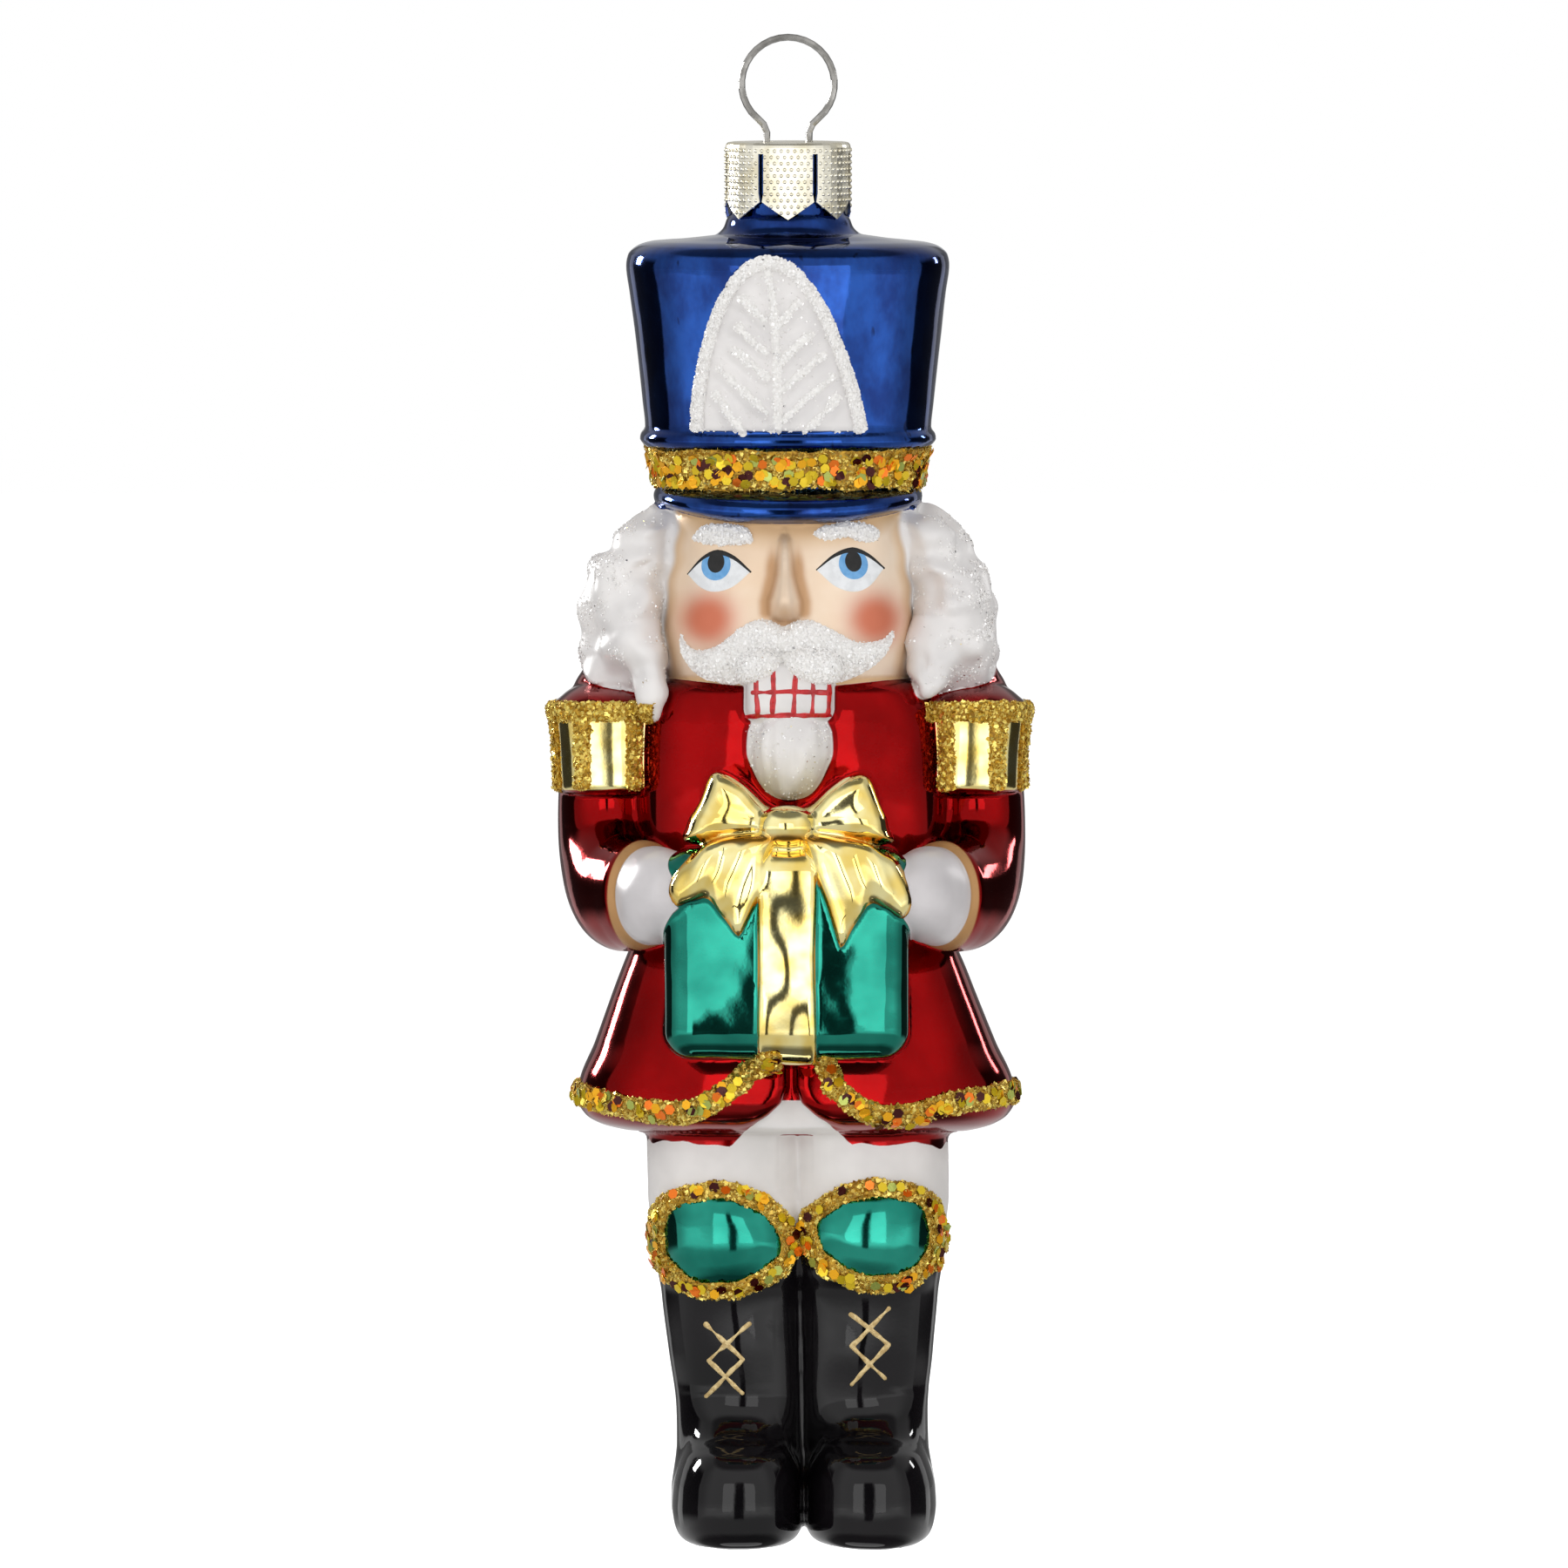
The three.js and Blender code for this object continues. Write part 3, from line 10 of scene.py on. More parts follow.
import bpy
import numpy as np
import openvdb
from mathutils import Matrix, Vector


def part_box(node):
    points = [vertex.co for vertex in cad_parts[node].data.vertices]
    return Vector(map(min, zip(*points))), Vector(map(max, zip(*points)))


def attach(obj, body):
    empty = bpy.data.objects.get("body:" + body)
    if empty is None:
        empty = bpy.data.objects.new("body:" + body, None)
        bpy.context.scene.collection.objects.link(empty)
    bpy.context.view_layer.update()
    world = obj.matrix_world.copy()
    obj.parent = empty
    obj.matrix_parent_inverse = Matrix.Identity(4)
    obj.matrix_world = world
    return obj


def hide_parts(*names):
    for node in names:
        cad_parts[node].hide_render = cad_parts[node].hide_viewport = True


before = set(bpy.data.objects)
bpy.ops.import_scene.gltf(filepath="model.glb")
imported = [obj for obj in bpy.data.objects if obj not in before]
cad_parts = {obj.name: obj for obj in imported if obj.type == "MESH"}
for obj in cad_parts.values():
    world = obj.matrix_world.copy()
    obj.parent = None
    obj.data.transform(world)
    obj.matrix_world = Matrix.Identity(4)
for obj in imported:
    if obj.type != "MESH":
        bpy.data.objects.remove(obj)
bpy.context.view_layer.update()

MM = 0.001
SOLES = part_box("glass_body")[0].z / MM
FINE = 1e-9

# Heights of the figure's zones, above the soles
BOOT_TOP = 13.0
KNEE = 30.3
HEM = 41.0
GIFT_FOOT = 48.7
WAIST = 59.4
BOARD_TOP = 84.0
COLLAR = 87.0
BRIM = 102.6
BAND_FOOT = 106.1
BAND_TOP = 110.0
BEAD = 110.9
CROWN = 130.8
NECK_TOP = 140.0

VOXEL = 0.3  # spacing of the grid on which the glass is meshed
CAMERA_TILT = math.radians(3.2)  # the camera looks down by this much
RAISE = math.tan(CAMERA_TILT)
LEAN = 0.017  # sideways drift of the centreline, per millimetre below LEAN_TOP
LEAN_TOP = 95.0
NECK_R = 5.7
NECK_BORE_R = 4.8
GIFT_X = -0.11
GIFT_FRONT = 21.0
GIFT_HALF = 12.2
GIFT_TOP = GIFT_FOOT + 21.0
KNOT = GIFT_TOP + 1.6
SIDES = {-1: "left", 1: "right"}


def lean(z):
    """The centreline's sideways drift below the chin."""
    return LEAN * np.maximum(0.0, LEAN_TOP - z)


def mix(a, b, t):
    return a + (b - a) * t


def ramp(value, low, high):
    """0 below low, 1 above high, and smooth between them."""
    t = np.clip((value - low) / (high - low), 0, 1)
    return t * t * (3 - 2 * t)


def soft_min(a, b, width):
    near = np.maximum(width - np.abs(a - b), 0) / width
    return np.minimum(a, b) - near * near * width / 4


def soft_max(a, b, width):
    return -soft_min(-a, -b, width)


def waves(points, size, seed, stretch=(1, 1, 1)):
    """A smooth random field of about unit height, whose hills lie about `size` apart."""
    random = np.random.default_rng(seed)
    total, count = np.zeros(len(points)), 14
    for _ in range(count):
        direction = random.normal(size=3)
        direction /= np.linalg.norm(direction)
        push = 2 * math.pi / (size * random.uniform(0.75, 1.6))
        total += np.sin(points @ (direction * push / np.array(stretch)) + random.uniform(0, 2 * math.pi))
    return total / math.sqrt(count / 2)


# ---- Forms: each is a distance field in millimetres and the box that holds it ----


def smooth_columns(rows, step=0.1):
    """Columns of a table against height, through its rows and without overshoot."""
    z = rows[:, 0]
    fine = np.arange(z[0], z[-1] + step / 2, step)
    gaps = np.diff(z)
    place = np.clip(np.searchsorted(z, fine, side="right") - 1, 0, len(gaps) - 1)
    gap = gaps[place]
    t = (fine - z[place]) / gap
    columns = []
    for values in rows[:, 1:].T:
        rise = np.diff(values) / gaps
        slopes = np.concatenate([[rise[0]], np.zeros(len(z) - 2), [rise[-1]]])
        for i in range(1, len(z) - 1):
            if rise[i - 1] * rise[i] > 0:
                before, after = 2 * gaps[i] + gaps[i - 1], gaps[i] + 2 * gaps[i - 1]
                slopes[i] = (before + after) / (before / rise[i - 1] + after / rise[i])
        columns.append(
            values[place] * (1 + 2 * t) * (1 - t) ** 2
            + slopes[place] * gap * t * (1 - t) ** 2
            + values[place + 1] * t * t * (3 - 2 * t)
            + slopes[place + 1] * gap * t * t * (t - 1)
        )
    return fine, columns


def loft(rows, power=2.3):
    """A form through rows of height, half width, front depth, back depth, centre x, centre y."""
    heights, columns = smooth_columns(np.array([list(r) + [0] * (6 - len(r)) for r in rows], float))
    half, front, back, middle_x, middle_y = columns

    def distance(x, y, z):
        wide, fore, aft, cx, cy = (np.interp(z, heights, c) for c in columns)
        across, along = np.abs(x - cx), y - cy
        deep = np.where(along < 0, fore, aft)
        reach = np.hypot(across, along) + FINE
        share = ((across / wide) ** power + (np.abs(along) / deep) ** power) ** (1 / power) + FINE
        ends = np.maximum(heights[0] - z, z - heights[-1])
        return np.maximum(reach * (1 - 1 / share), ends)

    low = ((middle_x - half).min(), (middle_y - front).min(), heights[0])
    high = ((middle_x + half).max(), (middle_y + back).max(), heights[-1])
    return distance, low, high


def through(knots, count):
    """Points on a smooth line through the knots."""
    knots = np.array(knots, float)
    padded = np.vstack([2 * knots[0] - knots[1], knots, 2 * knots[-1] - knots[-2]])
    places = np.linspace(0, len(knots) - 1, count)
    index = np.minimum(places.astype(int), len(knots) - 2)
    t = (places - index)[:, None]
    p0, p1, p2, p3 = (padded[index + i] for i in range(4))
    return 0.5 * (
        2 * p1 + (p2 - p0) * t + (2 * p0 - 5 * p1 + 4 * p2 - p3) * t * t + (3 * p1 - p0 - 3 * p2 + p3) * t**3
    )


def tube(knots, cut=0.0):
    """A round form through rows of x, y, z, radius across and radius fore and aft. A cut end is flat."""
    line = through(knots, 64)
    stretch = (line[:, 4] / line[:, 3]).mean()

    def distance(x, y, z):
        best = np.inf
        for a, b in zip(line[:-1], line[1:]):
            px, py, pz = (x - a[0]) * stretch, y - a[1], z - a[2]
            bx, by, bz = (b[0] - a[0]) * stretch, b[1] - a[1], b[2] - a[2]
            t = np.clip((px * bx + py * by + pz * bz) / (bx * bx + by * by + bz * bz), 0, 1)
            off = np.sqrt((px - t * bx) ** 2 + (py - t * by) ** 2 + (pz - t * bz) ** 2)
            best = np.minimum(best, off - a[4] - t * (b[4] - a[4]))
        if cut:
            ahead = line[-1, :3] - line[-4, :3]
            ahead /= np.linalg.norm(ahead)
            beyond = sum((c - end) * a for c, end, a in zip((x, y, z), line[-1, :3], ahead))
            best = soft_max(best, beyond, cut)
        return best

    around = line[:, 3:5].max(axis=1, keepdims=True)
    low, high = (line[:, :3] - around).min(axis=0), (line[:, :3] + around).max(axis=0)
    return distance, tuple(low), tuple(high)


def segments(x, z, line):
    """The ends of each segment of a front-view line, and the squared distance to it."""
    for (ax, az), (bx, bz) in zip(line[:-1], line[1:]):
        ex, ez = bx - ax, bz - az
        t = np.clip(((x - ax) * ex + (z - az) * ez) / (ex * ex + ez * ez + FINE), 0, 1)
        yield (ax, az, bx, bz), (x - ax - t * ex) ** 2 + (z - az - t * ez) ** 2


def outline_distance(x, z, outline):
    """Signed distance to a closed front-view outline, negative inside."""
    best, inside = np.inf, False
    for (ax, az, bx, bz), square in segments(x, z, [*outline, outline[0]]):
        best = np.minimum(best, square)
        if abs(bz - az) > FINE:
            inside = inside ^ (((az <= z) != (bz <= z)) & (x < ax + (z - az) * (bx - ax) / (bz - az)))
    return np.where(inside, -1, 1) * np.sqrt(best)


def stroke_distance(x, z, line):
    """Distance to an open front-view line."""
    best = np.inf
    for _ends, square in segments(x, z, line):
        best = np.minimum(best, square)
    return np.sqrt(best)


def rounded(points, count=36):
    """A closed smooth outline through the points."""
    points = list(points)
    ring = points[-2:] + points + points[:3]
    line = through(ring, (len(ring) - 1) * 8 + 1)[16:-16]
    return line[:: max(1, len(line) // count)]


def plate(outline, front, back, edge, swell=0.0, swell_width=1.0):
    """A front-view outline made solid from y = -front to y = -back, its front face swelling."""
    outline = np.array(outline, float)

    def distance(x, y, z):
        flat = outline_distance(x, z, outline)
        rise = swell * np.sqrt(1 - (1 - np.clip(-flat / swell_width, 0, 1)) ** 2)
        return soft_max(flat, np.maximum(-front - rise - y, y + back), edge)

    low, high = outline.min(axis=0), outline.max(axis=0)
    return distance, (low[0], -front - swell, low[1]), (high[0], -back, high[1])


def rounded_box(low, high, radius, swell=0.0):
    """A box with round edges whose front face swells."""
    low, high = np.array(low, float), np.array(high, float)
    middle, half = (low + high) / 2, (high - low) / 2 - radius

    def distance(x, y, z):
        across, up = np.abs(x - middle[0]) / half[0], np.abs(z - middle[2]) / half[2]
        bulge = swell * np.clip(1 - across**2, 0, 1) * np.clip(1 - up**2, 0, 1)
        q = [np.abs(c - m) - h for c, m, h in zip((x, y + bulge, z), middle, half)]
        outside = np.sqrt(sum(np.maximum(c, 0) ** 2 for c in q))
        return outside + np.minimum(np.maximum(np.maximum(q[0], q[1]), q[2]), 0) - radius

    return distance, tuple(low - [0, swell, 0]), tuple(high)


def hat():
    wall_top = CROWN - 2.5

    def wall(z, out=0.0):
        swell = max(0.0, (z - BRIM) / (wall_top - BRIM)) ** 1.3
        deep = 11.8 + 1.6 * swell + out
        return [z, 13.7 + 2.5 * swell + out, deep, deep]

    rows = [wall(BRIM + 1.4, -0.5), wall(BRIM + 3, -0.7), wall(BEAD - 2.4, -0.7), wall(BEAD - 1.1, -0.3)]
    rows += [wall(BEAD - 0.5, 0.35), wall(BEAD, 0.6), wall(BEAD + 0.5, 0.45), wall(BEAD + 1.1)]
    rows += [wall(z) for z in (114.5, 118, 122, 125.5, wall_top)]
    rows += [wall(wall_top + up, -inward) for up, inward in ((1, 0.3), (1.8, 1.2), (2.3, 2.8))]
    rows += [[CROWN, 11.2, 9.4, 9.4], [CROWN + 0.5, 7, 7, 7], [CROWN + 0.7, 5, 5, 5]]
    return loft(rows, 2.5)


def neck():
    radii = ((-4, 9.6), (-0.6, 9.6), (0, 8.7), (0.6, 7.2), (1.3, 6.5), (2.1, 6.2), (2.8, NECK_R))
    return loft([*[[CROWN + up, r, r, r] for up, r in radii], [NECK_TOP, NECK_R, NECK_R, NECK_R]], 2)


def visor():
    base, foot, tall = 11.8, BRIM - 0.4, 3.8
    form, low, high = loft([
        [foot, 11.9, base + 0.9, base - 1],
        [foot + 0.35, 12.8, base + 1.9, base - 0.1],
        [foot + 0.9, 13.3, base + 2.45, base + 0.1],
        [foot + 1.7, 13.45, base + 2.5, base + 0.2],
        [foot + 2.6, 13.4, base + 2, base],
        [foot + 3.3, 13.2, base + 1.1, base - 0.4],
        [foot + tall, 12.9, base - 0.7, base - 0.7],
    ], 2.5)

    def distance(x, y, z):
        lift = 2.1 * np.minimum(1, np.abs(x) / 13.4) ** 2.4
        return form(x, y, foot + (z - foot - lift) * tall / (tall - lift))

    return distance, low, high


def nose():
    rows = ((92.3, 0.9, 6.6), (92.7, 1.8, 8.2), (93.4, 2.2, 9.3), (94.3, 2.15, 9.8), (95.4, 1.75, 9.4),
            (96.9, 1.4, 8.6), (98.8, 1.2, 7.7), (100.2, 1.1, 6.9), (101.2, 0.9, 5.6))
    return loft([[z, half, front, 3, -0.3, -6] for z, half, front in rows], 2.1)


def curl_roll(side):
    """The roll of curls beside the face, with five waves from its foot to its top."""
    foot, top = COLLAR - 3.5, BRIM + 1.5
    rows = ((-0.09, 6.8, 1.2, 1.4), (-0.04, 5.2, 2.9, 2.4), (0.05, 1.6, 4.1, 3.4), (0.2, 0, 4.3, 5.8),
            (0.4, 0, 4.3, 7), (0.6, 0.3, 4.4, 7), (0.7, 1.2, 4.3, 6.8), (0.8, 2.4, 4.1, 6.4),
            (0.9, 4.1, 3.4, 5.6), (0.97, 6, 2.4, 4.4), (1.03, 7.8, 1.2, 2.6))
    shares, columns = smooth_columns(np.array(rows), 0.01)
    made = []
    for t in np.arange(-0.09, 1.03, 0.02):
        narrow, wide, deep = (np.interp(t, shares, c) for c in columns)
        wave = -0.2 * math.cos(t * 5 * 2 * math.pi + 0.9 * math.sin(side + t * 9))
        wide, deep = wide + wave * min(1, wide / 3), deep + wave * 1.4
        middle = side * (20.7 - narrow - wide + wave) + 0.2
        made.append([mix(foot, top, t), wide, deep, deep, middle, -1.2])
    return loft(made, 2)


def lock(side):
    """The lock of hair that hangs by the collar, inside the curls."""
    tip = 83.4 if side < 0 else 85.6
    rows = ((14.8, -5.8, 90, 2, 3), (14.2, -6.8, 87.6, 1.9, 2.7),
            (13.7, -7.9, mix(87.6, tip, 0.6), 1.4, 1.8), (13.4, -8.6, tip, 0.5, 0.8))
    return tube([[side * x, *rest] for x, *rest in rows])


def limb(side, rows, cut=0.0):
    """A tube through rows of one side, which drifts with the centreline."""
    return tube([[side * x + lean(z), y, z, wide, deep] for x, y, z, wide, deep in rows], cut)


def sleeve(side):
    rows = ((17.7, 0.6, 83.6, 4.3, 5.6), (18.5, 0.6, 76.6, 4.7, 5.8), (18.5, -0.6, 69.8, 4.8, 6),
            (17.7, -4.6, 65.8, 4.9, 6), (15.9, -9, 65, 4.8, 5.6), (14.3, -12.6, 65.2, 4.3, 5.3))
    return limb(side, rows, cut=1.6)


def glove(side):
    rows = ((15.2, -9.5, 64.8, 3.3, 4.4), (14.2, -12.6, 64.9, 3.9, 4.9), (12.8, -15.2, 65, 3.5, 4.6),
            (11.2, -17.2, 65, 2.3, 3.4))
    return limb(side, rows)


def board_x(side):
    return side * 18.6 + lean(BOARD_TOP)


def board(side):
    x, foot = board_x(side), BOARD_TOP - 8.8
    return loft([
        [foot - 0.2, 3.2, 6.4, 4.8, x - side * 0.2],
        [foot, 4.3, 7.7, 6, x - side * 0.2],
        [foot + 0.6, 4.85, 8.2, 6.6, x - side * 0.2],
        [foot + 3.4, 4.9, 8.3, 6.7, x - side * 0.1],
        [BOARD_TOP - 1.7, 5.15, 8.5, 7, x],
        [BOARD_TOP - 0.2, 5.4, 8.7, 7.2, x],
        [BOARD_TOP + 0.3, 5.15, 8.3, 6.9, x],
        [BOARD_TOP + 0.9, 4.5, 7.4, 6.2, x],
        [BOARD_TOP + 1.7, 3.5, 5.3, 5.2, x],
        [BOARD_TOP + 2.3, 2, 3.4, 3.4, x],
        [BOARD_TOP + 2.45, 0.8, 1.4, 1.4, x],
    ], 2.9)


def beard():
    rows = ((74.3, 1.2, 3.4), (74.7, 2.3, 4.8), (75.6, 3.3, 5.8), (77.2, 4.2, 6.5), (79.2, 5, 6.7),
            (81.2, 5.1, 6.3), (83, 4.4, 5.6))
    return loft([[z, half, front, 2, lean(83), -8] for z, half, front in rows], 2.3)


def ribbon(gift):
    """The band down the middle of the gift, raised from the gift's own shape."""
    def distance(x, y, z):
        edge = np.abs(x - GIFT_X) - 2.8 + 0.25 * ramp(z, 66, 71)
        return soft_max(gift(x, y, z) - 0.65, edge, 0.5)

    return distance, (GIFT_X - 3, -GIFT_FRONT - 1.4, GIFT_FOOT - 1), (GIFT_X + 3, -8, GIFT_TOP + 1)


# Outlines of the bow's loops and tails, by side
BOW_LOOPS = {
    -1: ((-1.2, 70.6), (-6, 69.9), (-10.2, 70.4), (-9.9, 72.2), (-8.6, 75.2), (-7.4, 77.1), (-6.2, 77.1),
         (-4.2, 75.9), (-2.3, 74), (-0.8, 73)),
    1: ((1, 70.6), (6, 69.9), (10.3, 70.2), (10, 71.8), (9, 75.2), (8, 76.8), (6.6, 77), (4.6, 75.9),
        (2.5, 74), (1, 73)),
}
BOW_TAILS = {
    -1: ((-1.6, 71), (-6.9, 70.7), (-10.2, 68.4), (-11.8, 65.8), (-11.2, 64), (-9.6, 64.4), (-8, 64.5),
         (-6.6, 62.8), (-5.3, 61), (-4.6, 61), (-3.4, 63.4), (-2.2, 65.8), (-1.9, 68.4)),
    1: ((1.6, 71), (6.9, 70.4), (10.2, 69), (11.7, 66.6), (12.3, 64.2), (11.4, 62.8), (9.8, 63.6),
        (8.2, 64), (6.9, 62.2), (5.6, 59.8), (4.9, 60), (3.6, 64.4), (2.4, 67.6)),
}


def bow_loop(side):
    return plate(rounded(BOW_LOOPS[side]), GIFT_FRONT - 2.6, 11, 1.4, 2.0, 3.2)


def bow_tail(side):
    return plate(rounded(BOW_TAILS[side], 60), GIFT_FRONT - 0.4, 14, 0.9, 1.4, 2.6)


def front_notch():
    """The outline of the opening between the coat's fronts."""
    x = lean(HEM) - 0.6
    rises = ((7.6, -3), (4.4, 0.4), (2.3, 1.9), (1, 3.1), (0.42, 4.6), (0.36, 8.4))
    left = [(x - out, HEM + up) for out, up in rises]
    return [*left, *[(2 * x - px, pz) for px, pz in reversed(left)]]


def coat_skirt():
    def row(t, half, inset=0.0):
        z, share = mix(HEM, WAIST, t), half / 21.9
        return [z, half, 14 * share - inset, 13 * share - inset, lean(z)]

    form, low, high = loft([
        row(0, 15.2, 0.8), row(0.02, 17.6, 0.5), row(0.05, 19.7, 0.2), row(0.1, 21.2), row(0.17, 21.9),
        row(0.26, 21.85), row(0.5, 20.2), row(0.75, 18.4), row(0.95, 16.9), row(1.08, 15.8, 0.6),
    ], 2.4)
    notch = plate(front_notch(), 20, 11.2, 0.4)[0]

    def distance(x, y, z):
        return soft_max(form(x, y, z), -notch(x, y, z), 1.3)

    return distance, low, high


def legs_half(z):
    return mix(12.6, 15.1, np.clip((z - BOOT_TOP) / (HEM - 6 - BOOT_TOP), 0, 1))


def leg(side):
    def row(z, swell=0.0):
        half = (legs_half(z) + 0.7) / 2 + swell
        share = half / 7.9
        middle = lean(z) + side * (legs_half(z) + swell * 0.3 - half)
        return [z, half, 7.6 * share + swell, 6.8 * share, middle]

    rows = [row(3.8), row(BOOT_TOP), row(19), row(KNEE - 5.4), row(KNEE - 3.4, 0.35), row(KNEE, 0.5)]
    rows += [row(KNEE + 3.4, 0.35), row(KNEE + 5.4), row(HEM - 1), row(HEM + 6)]
    return loft(rows, 2.15)


def foot(side):
    half = 6.55
    rows = ((0, 2.9, 12, 4.4), (0.15, 1.9, 13, 5.2), (0.5, 1, 13.9, 6), (1.1, 0.4, 14.5, 6.5),
            (2.2, 0, 14.9, 6.8), (3.8, -0.2, 15, 6.8), (5.6, -0.1, 14.9, 6.8), (7.2, 0.25, 14.4, 6.7),
            (8.6, 0.7, 13.2, 6.6), (9.5, 1.0, 11.4, 6.6), (10.4, 1.1, 9.2, 6.6), (12, 1.15, 7.4, 6.5),
            (14.5, 1.2, 5.4, 5.6))
    middle = lean(0) + side * half
    return loft([[z, half - narrow, front, back, middle] for z, narrow, front, back in rows], 2.75)


# Loft rows of the plain forms, from the foot up
HEAD_ROWS = [
    [COLLAR - 7, 9.5, 8.1, 9], [COLLAR - 2, 12, 11, 10], [COLLAR + 1.4, 12.75, 12.1, 10.6],
    [COLLAR + 5, 13, 12.6, 11], [COLLAR + 10, 13, 12.4, 11], [BRIM, 12.6, 11.6, 11],
    [BRIM + 3, 11.8, 10.6, 10],
]
WIG_ROWS = [[*row, 0, 1] for row in (
    (82, 12, 2, 9), (83.5, 15.2, 3, 11.2), (88.6, 18.2, 4, 12.4), (95.9, 18.5, 4, 12.4),
    (101, 16.2, 3.5, 11.4), (103.4, 13.8, 3, 10.4), (104.2, 12, 3, 9.4),
)]
CHEST_ROWS = [
    [WAIST - 2, 15.8, 10.4, 10.2, 0.6], [WAIST + 7, 16, 11.4, 10.7, 0.5],
    [WAIST + 16.5, 16, 12.2, 11, 0.35], [WAIST + 23, 15.8, 12.3, 11, 0.25],
    [COLLAR - 2, 15, 11.8, 10.6, 0.15], [COLLAR - 0.8, 13.8, 10.9, 9.8, 0.14],
    [COLLAR - 0.1, 11.6, 9.2, 8.2, 0.14], [COLLAR + 0.15, 9, 7, 6, 0.14],
]

gift_form = rounded_box((GIFT_X - GIFT_HALF, -GIFT_FRONT + 0.3, GIFT_FOOT),
                        (GIFT_X + GIFT_HALF, -8, GIFT_TOP), 2.8, 0.4)
jaw_form = rounded_box((lean(COLLAR) - 4.3, -13.9, 82.4), (lean(COLLAR) + 4.3, -7, 88.6), 1.3)
knot_form = tube([[GIFT_X, y, KNOT + 0.5, wide, deep]
                  for y, wide, deep in ((-15, 2.6, 2.1), (-19.2, 3.1, 2.2), (-20.3, 2.4, 1.7))])


def both(group, form, soft):
    """A form on the left and on the right, as rows of FORMS."""
    return [(group, form(side), soft) for side in SIDES]


# Each form: the group whose paint it carries, the form, and how softly it melts into the rest
FORMS = [
    ("hat", hat(), 0.3), ("hat", visor(), 0.6), ("hat", neck(), 0.8),
    ("face", loft(HEAD_ROWS, 2.4), 0.3), ("face", nose(), 1.1),
    ("hair", loft(WIG_ROWS, 2.2), 0.5), *both("hair", curl_roll, 0.7), *both("hair", lock, 1.4),
    ("coat", loft(CHEST_ROWS, 2.6), 0.5), *both("coat", sleeve, 1.0), *both("board", board, 0.4),
    ("coat", coat_skirt(), 0.9), ("jaw", jaw_form, 1.0), ("beard", beard(), 0.5), *both("glove", glove, 0.45),
    ("gift", gift_form, 0.4), ("bow", ribbon(gift_form[0]), 0.25),
    *both("bow", bow_loop, 0.4), *both("bow", bow_tail, 0.35), ("bow", knot_form, 0.5),
    ("leg", leg(-1), 0.7), ("leg", leg(1), 0.8), ("foot", foot(-1), 1.2), ("foot", foot(1), 0.9),
]
GROUPS = sorted({group for group, _form, _soft in FORMS})
FAR = 3.0  # distances are kept up to here
MARGIN = 1.5  # how far outside its box a form still melts into the rest
GRID_LOW = np.array([-26.1, -24.0, -1.5])
GRID_HIGH = np.array([26.1, 15.0, 142.5])
BORE_FOOT = 114.0


def bore(x, y, z):
    """The neck's opening, cut from everything else."""
    return np.maximum(np.maximum(np.hypot(x, y) - NECK_BORE_R, BORE_FOOT - z), z - NECK_TOP - 1)


def joined_on_grid():
    """The whole figure's distance field on a regular grid."""
    counts = np.ceil((GRID_HIGH - GRID_LOW) / VOXEL).astype(int) + 1
    axes = [low + VOXEL * np.arange(count) for low, count in zip(GRID_LOW, counts)]
    field = np.full(counts, FAR, np.float32)
    for _group, (distance, form_low, form_high), soft in FORMS:
        spans = tuple(slice(*np.searchsorted(axis, (low - MARGIN, high + MARGIN)))
                      for axis, low, high in zip(axes, form_low, form_high))
        xyz = np.meshgrid(*(axis[span] for axis, span in zip(axes, spans)), indexing="ij", sparse=True)
        field[spans] = soft_min(field[spans], np.minimum(distance(*xyz), FAR), soft)
    top = slice(*np.searchsorted(axes[2], (BORE_FOOT - 2, GRID_HIGH[2])))
    xyz = np.meshgrid(axes[0], axes[1], axes[2][top], indexing="ij", sparse=True)
    field[:, :, top] = np.maximum(field[:, :, top], -bore(*xyz))
    return np.clip(field, -FAR, FAR)


def in_box(points, low, high, margin):
    return np.all((points > np.array(low) - margin) & (points < np.array(high) + margin), axis=1)


def joined_at(points):
    """The same field at loose points."""
    field = np.full(len(points), FAR)
    for _group, (distance, low, high), soft in FORMS:
        near = in_box(points, low, high, MARGIN)
        field[near] = soft_min(field[near], np.minimum(distance(*points[near].T), FAR), soft)
    return np.maximum(field, -bore(*points.T))


def group_distances(points):
    """Each group's own distance at the points."""
    found = {group: np.full(len(points), FAR) for group in GROUPS}
    for group, (distance, low, high), _soft in FORMS:
        near = in_box(points, low, high, FAR)
        found[group][near] = np.minimum(found[group][near], distance(*points[near].T))
    return found


def unit(vectors):
    return vectors / (np.linalg.norm(vectors, axis=1, keepdims=True) + FINE)


def point_normals(points, quads):
    a, b, c, d = (points[quads[:, i]] for i in range(4))
    faces = np.cross(c - a, d - b)
    sums = [np.bincount(quads.ravel(), np.repeat(faces[:, i], 4), len(points)) for i in range(3)]
    return unit(np.stack(sums, axis=1))


